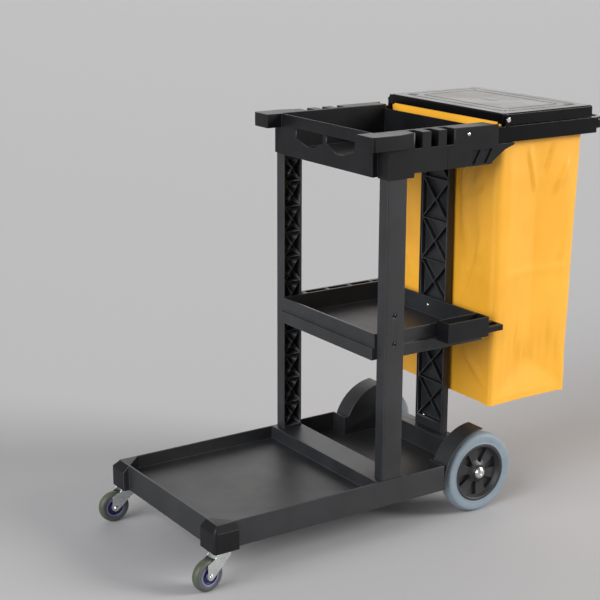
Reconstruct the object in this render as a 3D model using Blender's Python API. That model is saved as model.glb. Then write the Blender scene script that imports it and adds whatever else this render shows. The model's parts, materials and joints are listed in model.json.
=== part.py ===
"""Housekeeping cart: a moulded deck on two swivel casters and two large rear wheels, three posts, a mid
shelf, a deep top tray, and a yellow bag hung in a frame with a hinged lid. Metres, +Z up. The cart rolls
along X: the deck's front is at -X and the bag and push handle are at +X. Left is -Y. Stations are measured
along X from the front edge of the deck, and the cart's empty shifts them so that the origin is under the
middle of the cart. A cutter runs past the face it opens by PAST."""

import math

import bmesh
import bpy
from mathutils import Vector

# Overall
ORIGIN_STATION = 0.5322
HALF_WIDTH = 0.2315
GAP = 0.0003
WALL = 0.004
PAST = 0.01
SIDES = ((-1, "left"), (1, "right"))

# Deck
DECK_END = 0.788
RIM_TOP = 0.150
SKIRT_BOTTOM = 0.087
RIM_WALL = 0.005
FRONT_FLOOR = 0.118
REAR_FLOOR = 0.100
FLOOR_THICKNESS = 0.004
DIVIDER_FRONT = 0.434
DIVIDER_REAR = 0.508
REAR_BEAM_FRONT = 0.742
CELL_ROOF = 0.145
HALF_RIB = 0.002
SOCKET_DEPTH = 0.030
CORNER_PLATE = 0.042
POD_REACH = 0.0145
POD_SPAN = 0.049
POD_TOP = 0.134
POD_RADIUS = 0.009

# Rear wheels
WHEEL_STATION = 0.7535
WHEEL_RADIUS = 0.101
WHEEL_WIDTH = 0.035
WHEEL_INSET = 0.012
TYRE_INNER_RADIUS = 0.0725
AXLE_RADIUS = 0.006
SPOKES = 6
HUB_BACK = -0.004
POCKET_FLOOR = 0.0018
GUARD_RADIUS = 0.122
GUARD_START = 93
GUARD_WIDTH = 0.050

# Casters
CASTER_STATION = 0.013
CASTER_Y = 0.2215
CASTER_RADIUS = 0.0375
CASTER_WIDTH = 0.023
CASTER_TRAIL = 0.036
CASTER_SWIVELS = {"left": 8, "right": -3}
STEM_RADIUS = 0.005
STEM_TOP = 0.127
RACEWAY_RADIUS = 0.0215
FORK_TOP = 0.0832
FORK_SHEET = 0.0025

# Posts
POST_FRONT = 0.449
POST_DEPTH = 0.055
POST_OUTER = 0.2275
POST_WIDTH = 0.034
POST_TOP = 0.920
POST_WALL = 0.0035
RIB = 0.0028
REAR_POST_FRONT = 0.7637
REAR_POST_DEPTH = 0.021
REAR_POST_HALF = 0.0545
REAR_POST_TOP = 0.905
REAR_POST_FOOT = 0.022
REAR_SCREW_Z = 0.478
FOOT_SCREW_Y = 0.029
SCREW_STATION = 0.4755
SCREW_HEIGHTS = (0.479, 0.546)
SCREW_LENGTHS = (0.0345, 0.012)
SHANK_HOLE = 0.0024
COUNTERBORE = (0.0065, 0.003)

# Mid shelf
SHELF_FRONT = 0.444
SHELF_END = 0.7595
SHELF_HALF = 0.1965
SHELF_TOP = 0.499
SHELF_FLOOR = 0.453
SHELF_BOTTOM = 0.437
SHELF_WALL = 0.006
SHELF_STEP = 0.007
SHELF_STEP_TOP = 0.466

# Tool brackets on the shelf's sides
BRACKET_OUTER = 0.2475
BRACKET_END = 0.785
BRACKET_DEPTH = 0.014
BRACKET_LOW = {"left": 0.468, "right": 0.476}
BRACKET_START = {"left": 0.618, "right": 0.530}
END_HOOK = (0.748, 0.778)
END_HOOK_WALL = 0.012
POCKET = (0.460, 0.508)
POCKET_END = 0.740
HOOK_STATIONS = (0.542, 0.612, 0.682)
HOOK_LENGTH = 0.060
HOOK_WALL = 0.008

# Top tray
TRAY_FRONT = 0.434
TRAY_END = 0.7508
TRAY_HALF = 0.2305
TRAY_TOP = 0.960
TRAY_REAR_TOP = 0.949
TRAY_BOTTOM = 0.869
APRON_BOTTOM = 0.861
TRAY_FLOOR = 0.873
BIN_HALF = 0.189
SLEEVE_BOTTOM = 0.859
SLEEVE_FRONT = 0.447
SLEEVE_END = 0.520
LUG_FRONT = 0.394
LUG_BOTTOM = 0.927
LUG_OUTER = 0.2435
LUG_INNER = 0.181
SLOT_STATIONS = (0.530, 0.5755, 0.620)
SLOT_WIDTH = 0.021
SLOT_BOTTOM = 0.924
ARM_STATION = 0.634
ARM_PLATE_STATION = 0.614
ARM_STEP_Z = 0.920
ARM_END = 0.762
ARM_TIP = 0.812
ARM_SCREW = (0.673, 0.944)

# Bag frame, bag, lid and handle
FRAME_HALF = 0.2265
FRAME_BOTTOM = 0.914
FRAME_TOP = 0.9515
FRAME_END = 1.080
FRAME_BAR = 0.016
FRONT_BAR_STATION = 0.790
FRONT_BAR = 0.013
HANDLE_END = 1.125
HANDLE_Z = (0.923, 0.951)
BAG_BOTTOM = 0.262
BAG_FRONT = 0.7865
BAG_REAR = 1.043
BAG_WALL = 0.0015
HEM_THICKNESS = 0.0022
HEM_REACH = 0.005
HEM_HALF = 0.197
LID_FRONT = 0.785
LID_END = 1.0746
LID_HALF = 0.2187
LID_TOP = 0.980
LID_BOTTOM = 0.9525
LID_WALL = 0.003
LID_CORNER = 0.020
LID_FRONT_EDGE = 0.959
LID_CORNER_EDGE = 0.9555
LID_GROOVES = (0.030, 0.060)
HINGE_STATION = 0.794
HINGE_Z = 0.966
PIN_RADIUS = 0.003
EAR_RADIUS = 0.0065
HANDLE_HALF_DEPTH = 0.011
HANDLE_BEND = 0.030


def clear_scene():
    for obj in list(bpy.data.objects):
        bpy.data.objects.remove(obj, do_unlink=True)


def make_material(name, colour, roughness, metallic=0.0):
    material = bpy.data.materials.new(name)
    material.use_nodes = True
    shader = material.node_tree.nodes["Principled BSDF"]
    shader.inputs["Base Color"].default_value = (*colour, 1.0)
    shader.inputs["Roughness"].default_value = roughness
    shader.inputs["Metallic"].default_value = metallic
    material.diffuse_color = (*colour, 1.0)
    return material


def empty(name, parent, location=(0, 0, 0), turn=0.0):
    obj = bpy.data.objects.new(name, None)
    bpy.context.collection.objects.link(obj)
    obj.parent = parent
    obj.location = location
    obj.rotation_euler.z = turn
    return obj


def add_object(name, bm, material, parent, location=(0, 0, 0)):
    """Turns the bmesh into a named object, facing outwards, with its sharp edges kept sharp."""
    bmesh.ops.recalc_face_normals(bm, faces=bm.faces)
    mesh = bpy.data.meshes.new(name)
    bm.to_mesh(mesh)
    bm.free()
    mesh.shade_smooth()
    mesh.set_sharp_from_angle(angle=math.radians(35))
    obj = bpy.data.objects.new(name, mesh)
    bpy.context.collection.objects.link(obj)
    obj.parent = parent
    obj.location = location
    if material:
        obj.data.materials.append(material)
    return obj


def loft(bm, rings):
    """Joins rings of equally many points into one closed solid."""
    loops = [[bm.verts.new(point) for point in ring] for ring in rings]
    count = len(loops[0])
    for low, high in zip(loops, loops[1:]):
        for i in range(count):
            j = (i + 1) % count
            bm.faces.new((low[i], low[j], high[j], high[i]))
    bm.faces.new(list(reversed(loops[0])))
    bm.faces.new(loops[-1])


def block(bm, low, high):
    (x0, y0, z0), (x1, y1, z1) = low, high
    y0, y1 = min(y0, y1), max(y0, y1)
    outline = ((x0, y0), (x1, y0), (x1, y1), (x0, y1))
    loft(bm, [[(x, y, z) for x, y in outline] for z in (z0, z1)])


def prism_x(bm, outline, x0, x1):
    loft(bm, [[(x, y, z) for y, z in outline] for x in (x0, x1)])


def prism_y(bm, outline, y0, y1):
    loft(bm, [[(x, y, z) for x, z in outline] for y in (y0, y1)])


def prism_z(bm, outline, z0, z1):
    loft(bm, [[(x, y, z) for x, y in outline] for z in (z0, z1)])


def arc(centre, radius, start, end, steps):
    """Points on a circle, from one angle to another, in degrees."""
    angles = [math.radians(start + (end - start) * i / steps) for i in range(steps + 1)]
    return [(centre[0] + radius * math.cos(a), centre[1] + radius * math.sin(a)) for a in angles]


def rounded(low, high, radius, steps=3):
    """A rectangle's outline with round corners."""
    (x0, y0), (x1, y1) = low, high
    corners = ((x1, y1, 0), (x0, y1, 90), (x0, y0, 180), (x1, y0, 270))
    points = []
    for x, y, start in corners:
        centre = (x - math.copysign(radius, x - x0 - 1e-9), y - math.copysign(radius, y - y0 - 1e-9))
        points += arc(centre, radius, start, start + 90, steps)
    return points


def turned(bm, profile, steps, axis="Y", centre=(0, 0, 0)):
    """Revolves a closed profile of (radius, height) points about an axis through a centre."""
    order = {"X": (1, 0, 2), "Y": (0, 1, 2), "Z": (0, 2, 1)}[axis]

    def vertex(radius, height, angle):
        point = (radius * math.cos(angle), height, radius * math.sin(angle))
        return bm.verts.new(Vector(point[i] for i in order) + Vector(centre))

    loops = []
    for radius, height in profile:
        if radius == 0:
            loops.append([vertex(0, height, 0)] * steps)
        else:
            loops.append([vertex(radius, height, 2 * math.pi * i / steps) for i in range(steps)])
    for j, loop in enumerate(loops):
        following = loops[(j + 1) % len(loops)]
        for i in range(steps):
            k = (i + 1) % steps
            corners = list(dict.fromkeys((loop[i], following[i], following[k], loop[k])))
            if len(corners) > 2:
                bm.faces.new(corners)


def use_boolean(obj, operation, helpers):
    for helper in helpers:
        modifier = obj.modifiers.new(helper.name, "BOOLEAN")
        modifier.operation = operation
        modifier.solver = "EXACT"
        modifier.object = helper
        helper.hide_render = True
        helper.display_type = "WIRE"
        helper.hide_set(True)


def carve(obj, *cutters):
    use_boolean(obj, "DIFFERENCE", cutters)


def fuse(obj, *additions):
    use_boolean(obj, "UNION", additions)


def helper(name, parent, shapes, location=(0, 0, 0)):
    """A cutter or an addition, made of one shape or of several that stand apart."""
    bm = bmesh.new()
    for make, *arguments in shapes:
        make(bm, *arguments)
    return add_object(name, bm, None, parent, location)


def shape_object(name, material, parent, shapes, location=(0, 0, 0)):
    obj = helper(name, parent, shapes, location)
    obj.data.materials.append(material)
    return obj


def rod(bm, centre, radius, start, end, axis="Y", steps=24):
    """A plain cylinder along an axis, from one coordinate to another."""
    turned(bm, ((0, start), (radius, start), (radius, end), (0, end)), steps, axis, centre)


# ---------------------------------------------------------------- deck


def pod_shape(bm, side):
    """The corner lobe over a caster, which stands proud of the deck and slopes back to the rim."""
    tuck = 0.001

    def plan(reach, radius):
        front, edge = -reach, HALF_WIDTH + reach
        far = HALF_WIDTH - POD_SPAN
        corner = arc((front + radius, edge - radius), radius, 180, 90, 5)
        inside = [(POD_SPAN, HALF_WIDTH - 2 * tuck), (2 * tuck, far)]
        return [(front, far)] + corner + [(POD_SPAN, edge)] + inside

    levels = [(z, POD_REACH, POD_RADIUS) for z in (SKIRT_BOTTOM, POD_TOP)] + [(RIM_TOP - tuck, -tuck, tuck)]
    loft(bm, [[(x, side * y, z) for x, y in plan(reach, radius)] for z, reach, radius in levels])
    bmesh.ops.triangulate(bm, faces=[face for face in bm.faces if len(face.verts) == 4])


def guard_outline(radius, front_angle):
    """An arch over a rear wheel in XZ, from near its top forwards and down."""
    return arc((WHEEL_STATION, WHEEL_RADIUS), radius, GUARD_START, front_angle, 14)


def deck_outline():
    """The plan of the deck: the full width in front, stepped in for the rear wheels."""
    step = WHEEL_STATION - GUARD_RADIUS
    inner = HALF_WIDTH - GUARD_WIDTH
    right = ((0.0, HALF_WIDTH), (step, HALF_WIDTH), (step, inner), (DECK_END, inner))
    return list(right) + [(x, -y) for x, y in reversed(right)]


def deck_pockets():
    """The two trays, open at the top, and the hollow underside."""
    half = HALF_WIDTH - RIM_WALL
    inner = HALF_WIDTH - GUARD_WIDTH - WALL
    front_tray = [(RIM_WALL + CORNER_PLATE, half), (DIVIDER_FRONT, half)]
    front_tray += [(x, -y) for x, y in reversed(front_tray)]
    front_tray += [(RIM_WALL, CORNER_PLATE - half), (RIM_WALL, half - CORNER_PLATE)]
    step = WHEEL_STATION - GUARD_RADIUS - WALL
    rear_tray = [(DIVIDER_REAR, half), (step, half), (step, inner), (REAR_BEAM_FRONT, inner)]
    rear_tray += [(x, -y) for x, y in reversed(rear_tray)]
    above = RIM_TOP + PAST
    return [(prism_z, front_tray, FRONT_FLOOR, above), (prism_z, rear_tray, REAR_FLOOR, above)]


def underside_pockets():
    """Cells moulded into the underside, with cross ribs left between them."""
    below = SKIRT_BOTTOM - PAST
    half = HALF_WIDTH - RIM_WALL
    front_roof = FRONT_FLOOR - FLOOR_THICKNESS
    rear_roof = REAR_FLOOR - FLOOR_THICKNESS
    between_pods = 0.165
    cells = [(block, (RIM_WALL, -between_pods, below), (0.052, between_pods, front_roof))]
    for x0, x1 in ((0.056, 0.178), (0.182, 0.304), (0.308, 0.430)):
        for y0, y1 in ((-half, -HALF_RIB), (HALF_RIB, half)):
            cells.append((block, (x0, y0, below), (x1, y1, front_roof)))
    low, high = (DIVIDER_FRONT + WALL, -0.170, below), (DIVIDER_REAR - WALL, 0.170, CELL_ROOF)
    cells.append((block, low, high))
    inner = HALF_WIDTH - GUARD_WIDTH - WALL
    rib = 0.073
    across = (-inner, -rib, 0.0, rib, inner)
    for y0, y1 in zip(across, across[1:]):
        y0 += HALF_RIB if y0 > -inner else 0
        y1 -= HALF_RIB if y1 < inner else 0
        cells.append((block, (REAR_BEAM_FRONT + WALL, y0, below), (DECK_END - WALL, y1, CELL_ROOF)))
        cells.append((block, (DIVIDER_REAR + WALL, y0, below), (REAR_BEAM_FRONT - HALF_RIB, y1, rear_roof)))
    return cells


def wheel_guard(parent, side):
    """The quarter mudguard over a rear wheel, with its inner wall, made to be joined to the deck."""
    outer = HALF_WIDTH * side
    inner = (HALF_WIDTH - GUARD_WIDTH) * side
    base = SKIRT_BOTTOM
    front = math.degrees(math.asin((base - WHEEL_RADIUS) / GUARD_RADIUS))
    shell = guard_outline(GUARD_RADIUS, 180 - front)
    lining = guard_outline(GUARD_RADIUS - WALL, 180 - front)
    roof_outline = shell + list(reversed(lining))
    wall = [(shell[0][0], base)] + shell
    name = "left" if side < 0 else "right"
    roof = helper(f"guard_roof_{name}", parent, [(prism_y, roof_outline, outer, inner)])
    cheek = helper(f"guard_cheek_{name}", parent, [(prism_y, wall, inner, inner - WALL * side)])
    return roof, cheek


def make_deck(parent, black):
    deck = shape_object("base_deck", black, parent, [(prism_z, deck_outline(), SKIRT_BOTTOM, RIM_TOP)])
    pods = helper("pods", parent, [(pod_shape, -1), (pod_shape, 1)])
    fuse(deck, pods)
    carve(deck, helper("deck_trays", parent, deck_pockets()))
    carve(deck, helper("deck_cells", parent, underside_pockets()))
    for side in (-1, 1):
        fuse(deck, *wheel_guard(parent, side))
    post_feet = []
    for side in (-1, 1):
        y0, y1 = sorted((side * (POST_OUTER - POST_WIDTH - GAP), side * (POST_OUTER + GAP)))
        low = (POST_FRONT - GAP, y0, RIM_TOP - SOCKET_DEPTH)
        post_feet.append((block, low, (POST_FRONT + POST_DEPTH + GAP, y1, RIM_TOP + PAST)))
    carve(deck, helper("post_sockets", parent, post_feet))
    bores = [(rod, (WHEEL_STATION, 0, WHEEL_RADIUS), AXLE_RADIUS + GAP, -0.25, 0.25)]
    for side in (-1, 1):
        centre = (CASTER_STATION, side * CASTER_Y, 0)
        bores.append((rod, centre, STEM_RADIUS + 0.0005, SKIRT_BOTTOM - PAST, STEM_TOP + 0.001, "Z"))
    foot = (REAR_POST_FRONT + REAR_POST_DEPTH / 2, FOOT_SCREW_Y, 0)
    bores.append((rod, foot, SHANK_HOLE, RIM_TOP - 2 * PAST, RIM_TOP + PAST, "Z", 12))
    carve(deck, helper("deck_bores", parent, bores))
    return deck


# ---------------------------------------------------------------- posts


def shrunk(triangle, inset):
    """The triangle moved in by the same distance from each of its sides."""
    a, b, c = (Vector(point) for point in triangle)
    la, lb, lc = (b - c).length, (c - a).length, (a - b).length
    perimeter = la + lb + lc
    centre = (a * la + b * lb + c * lc) / perimeter
    area = abs((b - a).cross(c - a)) / 2
    scale = 1 - inset / (2 * area / perimeter)
    return [tuple(centre + (point - centre) * scale) for point in (a, b, c)]


def cross_cells(low, high, z0, z1, count):
    """The triangles that are left open by a ladder of crossed ribs, as (across, height) outlines."""
    triangles = []
    for i in range(count):
        bottom = z0 + (z1 - z0) * i / count
        top = z0 + (z1 - z0) * (i + 1) / count
        corners = ((low, bottom), (high, bottom), (high, top), (low, top))
        middle = ((low + high) / 2, (bottom + top) / 2)
        for j in range(4):
            triangles.append(shrunk((corners[j], corners[(j + 1) % 4], middle), RIB / 2))
    return triangles


def make_front_post(parent, black, side, word):
    """A channel that is open towards the middle of the cart, with crossed ribs and two screw holes."""
    name = f"front_post_{word}"
    x0, x1 = POST_FRONT, POST_FRONT + POST_DEPTH
    y0, y1 = sorted((side * POST_OUTER, side * (POST_OUTER - POST_WIDTH)))
    low, high = RIM_TOP + WALL, POST_TOP - WALL
    outline = rounded((x0, y0), (x1, y1), 0.004, 2)
    post = shape_object(name, black, parent, [(prism_z, outline, RIM_TOP - SOCKET_DEPTH + GAP, POST_TOP)])
    web = side * (POST_OUTER - POST_WALL)
    open_side = side * (POST_OUTER - POST_WIDTH - PAST)
    cells = cross_cells(x0 + POST_WALL, x1 - POST_WALL, low, high, 12)
    carve(post, helper(f"{name}_cells", parent, [(prism_y, cell, web, open_side) for cell in cells]))
    above_ribs = (x0 + POST_WALL, side * (POST_OUTER - POST_WIDTH + WALL), low)
    carve(post, helper(f"{name}_mouth", parent, [(block, above_ribs, (x1 - POST_WALL, open_side, high))]))
    radius, depth = COUNTERBORE
    outside, inside = side * (POST_OUTER + PAST), side * (POST_OUTER - 0.06)
    centres = [(SCREW_STATION, 0, height) for height in SCREW_HEIGHTS]
    heads = [(rod, centre, radius, side * (POST_OUTER - depth), outside) for centre in centres]
    carve(post, helper(f"{name}_counterbores", parent, heads))
    shanks = [(rod, centre, SHANK_HOLE, inside, outside, "Y", 12) for centre in centres]
    carve(post, helper(f"{name}_screw_holes", parent, shanks))


def make_rear_post(parent, black):
    """The flat post under the tray's rear edge, ribbed towards the front, with a solid foot on the deck."""
    x0, x1 = REAR_POST_FRONT, REAR_POST_FRONT + REAR_POST_DEPTH
    half, inner = REAR_POST_HALF, REAR_POST_HALF - WALL
    bottom, top = RIM_TOP + GAP, REAR_POST_TOP
    low, high = bottom + REAR_POST_FOOT, top - WALL
    post = shape_object(
        "rear_post", black, parent, [(prism_z, rounded((x0, -half), (x1, half), 0.003, 2), bottom, top)]
    )
    before = x0 - PAST
    cells = cross_cells(-inner, inner, low, high, 7)
    carve(post, helper("rear_post_cells", parent, [(prism_x, cell, before, x1 - WALL) for cell in cells]))
    mouth = (block, (before, -inner, low), (x0 + WALL, inner, high))
    carve(post, helper("rear_post_mouth", parent, [mouth]))
    boss = 0.010
    pad = (block, (x0, -boss, REAR_SCREW_Z - boss), (x1 - 0.001, boss, REAR_SCREW_Z + boss))
    fuse(post, helper("rear_post_pad", parent, [pad]))
    foot = (x0 + REAR_POST_DEPTH / 2, FOOT_SCREW_Y, 0)
    holes = [(rod, (0, 0, REAR_SCREW_Z), SHANK_HOLE, before, x0 + 0.016, "X", 12)]
    holes.append((rod, foot, SHANK_HOLE, bottom - PAST, low + PAST, "Z", 12))
    carve(post, helper("rear_post_screw_holes", parent, holes))


def make_screw(name, steel, parent, head, direction, length, head_radius=0.0045):
    """A pan-head screw whose head's underside is at a point, with its shank pointing along a direction."""
    bm = bmesh.new()
    dome = ((0.0, 0.0032), (head_radius * 0.55, 0.0029), (head_radius * 0.9, 0.0018), (head_radius, 0.0004))
    profile = dome + ((head_radius, 0.0), (0.002, 0.0), (0.002, -length), (0.0, -length - 0.001))
    turned(bm, profile, 14, "Z")
    obj = add_object(name, bm, steel, parent, head)
    obj.rotation_euler = Vector((0, 0, -1)).rotation_difference(Vector(direction)).to_euler()
    return obj


def make_post_screws(parent, steel):
    """The lower screws reach into the shelf's sides. The upper ones only pass through the posts' webs."""
    for side, word in SIDES:
        for height, length, level in zip(SCREW_HEIGHTS, SCREW_LENGTHS, ("lower", "upper")):
            head = (SCREW_STATION, side * (POST_OUTER - COUNTERBORE[1] + GAP), height)
            make_screw(f"post_screw_{word}_{level}", steel, parent, head, (0, -side, 0), length)


# ---------------------------------------------------------------- mid shelf


def make_mid_shelf(parent, black):
    """A tray between the posts, with a stepped skirt round its front and sides and cells underneath."""
    half, step, wall = SHELF_HALF, SHELF_STEP, SHELF_WALL
    body = rounded((SHELF_FRONT, -half), (SHELF_END, half), 0.004, 2)
    skirt = rounded((SHELF_FRONT - step, -half - step), (SHELF_END, half + step), 0.004, 2)
    above, below = SHELF_TOP + PAST, SHELF_BOTTOM - PAST
    shelf = shape_object("mid_shelf", black, parent, [(prism_z, body, SHELF_BOTTOM + 0.002, SHELF_TOP)])
    fuse(shelf, helper("shelf_skirt", parent, [(prism_z, skirt, SHELF_BOTTOM, SHELF_STEP_TOP)]))
    inside = (SHELF_FRONT + wall, -half + wall, SHELF_FLOOR)
    carve(shelf, helper("shelf_tray", parent, [(block, inside, (SHELF_END - wall, half - wall, above))]))
    cells = []
    rib = 0.064
    for x0, x1 in ((0.512, 0.592), (0.596, 0.676), (0.680, SHELF_END - WALL)):
        for y0, y1 in ((-half, -rib - HALF_RIB), (HALF_RIB - rib, rib - HALF_RIB), (rib + HALF_RIB, half)):
            cells.append((block, (x0, y0, below), (x1, y1, SHELF_FLOOR - WALL)))
    carve(shelf, helper("shelf_cells", parent, cells))
    notches = []
    for side, _ in SIDES:
        low = (SHELF_FRONT - 2 * PAST, side * (POST_OUTER - POST_WIDTH - GAP), below)
        notches.append((block, low, (POST_FRONT + POST_DEPTH + GAP, side * HALF_WIDTH, above)))
    carve(shelf, helper("shelf_notches", parent, notches))
    holes = [(rod, (0, 0, REAR_SCREW_Z), SHANK_HOLE, SHELF_END - 2 * PAST, SHELF_END + PAST, "X", 12)]
    centre = (SCREW_STATION, 0, SCREW_HEIGHTS[0])
    holes += [(rod, centre, SHANK_HOLE, side * 0.18, side * 0.21, "Y", 12) for side, _ in SIDES]
    carve(shelf, helper("shelf_screw_holes", parent, holes))


def make_tool_bracket(parent, black, side, word):
    """A rail on the shelf's side with a hook at its end. The left one has a pocket, the right three hooks."""
    inner, outer = side * (SHELF_HALF + SHELF_STEP + GAP), side * BRACKET_OUTER
    low, start = BRACKET_LOW[word], BRACKET_START[word]
    below, above = low - 2 * PAST, POCKET[1] + PAST
    rail = (block, (start, inner, low), (BRACKET_END, outer, low + BRACKET_DEPTH))
    bracket = shape_object(f"tool_bracket_{word}", black, parent, [rail])
    edge = side * END_HOOK_WALL
    cuts = [(block, (END_HOOK[0], inner + edge, below), (END_HOOK[1], outer - edge, above))]
    if word == "left":
        pocket = (block, (start, inner, POCKET[0]), (POCKET_END, outer, POCKET[1]))
        fuse(bracket, helper("bracket_pocket", parent, [pocket]))
        wall = side * WALL
        floor = POCKET[0] + 0.006
        cuts.append((block, (start + WALL, inner + wall, floor), (POCKET_END - WALL, outer - wall, above)))
    else:
        edge = side * HOOK_WALL
        for x in HOOK_STATIONS:
            cuts.append((block, (x, inner + edge, below), (x + HOOK_LENGTH, outer - edge, above)))
    carve(bracket, helper(f"bracket_openings_{word}", parent, cuts))


# ---------------------------------------------------------------- top tray


def grip_outline(side):
    """One half of the grip moulded into the tray's front, in YZ."""
    top, near, far = 0.932, 0.006, 0.120
    points = ((near, top), (near, 0.912), (0.046, 0.894), (0.074, 0.894), (far, 0.908), (far, top))
    return [(side * y, z) for y, z in points]


def lug_outline(side):
    """The bumper lug on a front corner of the tray, in plan."""
    edge = LUG_OUTER
    points = [(LUG_FRONT, LUG_INNER), (LUG_FRONT, edge - 0.008)]
    points += [(LUG_FRONT + 0.0023, edge - 0.0023), (LUG_FRONT + 0.008, edge)]
    points += [(POST_FRONT + 0.02, edge), (POST_FRONT + POST_DEPTH + 0.01, TRAY_HALF)]
    points += [(POST_FRONT + POST_DEPTH + 0.01, LUG_INNER)]
    return [(x, side * y) for x, y in points]


def arm_front():
    """The front edge of an arm's plate in XZ, from its top down, stepped under the last tool slot."""
    upper, lower = ARM_STATION, ARM_PLATE_STATION
    return [(upper, TRAY_TOP), (upper, ARM_STEP_Z), (lower, ARM_STEP_Z), (lower, TRAY_BOTTOM)]


def tray_additions(parent):
    """The sleeves round the posts, the corner lugs, the apron in front and the socket over the rear post."""
    additions = []
    for side, word in SIDES:
        inner = side * (POST_OUTER - POST_WIDTH - 0.003)
        low = (SLEEVE_FRONT, inner, SLEEVE_BOTTOM)
        high = (SLEEVE_END, side * TRAY_HALF, TRAY_BOTTOM + 2 * PAST)
        additions.append(helper(f"sleeve_{word}", parent, [(block, low, high)]))
        lug = (prism_z, lug_outline(side), LUG_BOTTOM, TRAY_TOP)
        additions.append(helper(f"lug_{word}", parent, [lug]))
        low = (TRAY_FRONT, side * (BIN_HALF - WALL), APRON_BOTTOM)
        high = (SLEEVE_FRONT + 0.002, side * BIN_HALF, TRAY_BOTTOM + PAST)
        additions.append(helper(f"apron_return_{word}", parent, [(block, low, high)]))
    low, high = (TRAY_FRONT, -BIN_HALF, APRON_BOTTOM), (TRAY_FRONT + WALL, BIN_HALF, TRAY_BOTTOM + PAST)
    apron = (block, low, high)
    socket_half = REAR_POST_HALF + WALL
    socket_end = REAR_POST_FRONT + REAR_POST_DEPTH - GAP
    socket = (block, (TRAY_END - PAST, -socket_half, 0.872), (socket_end, socket_half, 0.912))
    return additions + [helper("tray_apron", parent, [apron]), helper("rear_socket", parent, [socket])]


def arm_seat(side):
    """The space that an arm's plate takes on the tray's side, with a gap all round."""
    top, bottom = TRAY_TOP + PAST, TRAY_BOTTOM - PAST
    behind = TRAY_END + 0.05
    outline = [(ARM_STATION - GAP, top), (ARM_STATION - GAP, ARM_STEP_Z + GAP)]
    outline += [(ARM_PLATE_STATION - GAP, ARM_STEP_Z + GAP), (ARM_PLATE_STATION - GAP, bottom)]
    outline += [(behind, bottom), (behind, top)]
    return prism_y, outline, side * (TRAY_HALF - WALL - GAP), side * (TRAY_HALF + PAST)


def side_cells(side):
    """The hollows under the tray's sides, the arm's seat, and the socket for the front post."""
    skin = 0.003
    y0, y1 = side * (BIN_HALF + skin), side * (TRAY_HALF - skin)
    below = TRAY_BOTTOM - 2 * PAST
    front = (block, (SLEEVE_END + skin, y0, below), (ARM_PLATE_STATION - WALL, y1, SLOT_BOTTOM - 0.005))
    inner = side * (TRAY_HALF - 2 * WALL)
    rear = (block, (ARM_STATION + 0.002, y0, below), (TRAY_END - WALL, inner, TRAY_TOP - WALL))
    low = (POST_FRONT - GAP, side * (POST_OUTER - POST_WIDTH - GAP), below)
    socket = (block, low, (POST_FRONT + POST_DEPTH + GAP, side * (POST_OUTER + GAP), POST_TOP + GAP))
    return [front, rear, arm_seat(side), socket]


def tool_slots(side):
    """The slots for tool handles, open above and to the side."""
    half = SLOT_WIDTH / 2
    y0, y1 = side * (BIN_HALF + 0.006), side * (LUG_OUTER + PAST)
    return [(block, (x - half, y0, SLOT_BOTTOM), (x + half, y1, TRAY_TOP + PAST)) for x in SLOT_STATIONS]


def make_top_tray(parent, black):
    plan = [(TRAY_FRONT, BIN_HALF), (SLEEVE_FRONT, BIN_HALF)]
    plan += [(SLEEVE_FRONT, TRAY_HALF), (TRAY_END, TRAY_HALF)]
    plan += [(x, -y) for x, y in reversed(plan)]
    tray = shape_object("top_tray", black, parent, [(prism_z, plan, TRAY_BOTTOM, TRAY_TOP)])
    fuse(tray, *tray_additions(parent))
    half, above = BIN_HALF - WALL, TRAY_TOP + PAST
    bin_space = (block, (TRAY_FRONT + WALL, -half, TRAY_FLOOR), (TRAY_END - WALL, half, above))
    rear_edge = (block, (TRAY_END - 2 * PAST, -half, TRAY_REAR_TOP), (TRAY_END + PAST, half, above))
    carve(tray, helper("bin_space", parent, [bin_space]), helper("rear_edge", parent, [rear_edge]))
    carve(tray, helper("tray_cells", parent, side_cells(-1) + side_cells(1)))
    carve(tray, helper("tool_slots", parent, tool_slots(-1) + tool_slots(1)))
    before, behind = TRAY_FRONT - PAST, TRAY_FRONT + WALL + 0.002
    grips = [(prism_x, grip_outline(side), before, behind) for side, _ in SIDES]
    carve(tray, helper("grip_openings", parent, grips))
    half = REAR_POST_HALF + GAP
    low = (REAR_POST_FRONT - GAP, -half, TRAY_BOTTOM - 2 * PAST)
    high = (REAR_POST_FRONT + REAR_POST_DEPTH + PAST, half, REAR_POST_TOP + GAP)
    carve(tray, helper("rear_post_seat", parent, [(block, low, high)]))


def make_bag_arm(parent, black, side, word):
    """The cantilever bracket beside the tray that carries the bag frame."""
    name = f"bag_arm_{word}"
    tongue_top = FRAME_BOTTOM - GAP
    nose = [(0.786, 0.900), (ARM_TIP, 0.9085), (ARM_TIP, tongue_top)]
    outline = arm_front() + [(0.738, TRAY_BOTTOM)] + nose + [(ARM_END, tongue_top), (ARM_END, TRAY_TOP)]
    plate = (prism_y, outline, side * TRAY_HALF, side * (TRAY_HALF - WALL))
    arm = shape_object(name, black, parent, [plate])
    heel = TRAY_END + 0.001
    tongue = [(heel, 0.882)] + nose + [(heel, tongue_top)]
    y0, y1 = side * (TRAY_HALF - 0.001), side * (FRAME_HALF - FRAME_BAR + 0.0008)
    fuse(arm, helper(f"{name}_tongue", parent, [(prism_y, tongue, y0, y1)]))
    outside, inside = side * (TRAY_HALF + PAST), side * (TRAY_HALF - PAST)
    windows = []
    low, high = 0.873, 0.905
    for start in (0.684, 0.719):
        window = [(start, high), (start, low), (start + 0.009, low), (start + 0.027, high)]
        windows.append((prism_y, window, outside, inside))
    hole = (rod, (ARM_SCREW[0], 0, ARM_SCREW[1]), SHANK_HOLE, outside, inside, "Y", 12)
    carve(arm, helper(f"{name}_windows", parent, windows), helper(f"{name}_hole", parent, [hole]))


# ---------------------------------------------------------------- bag end


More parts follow.
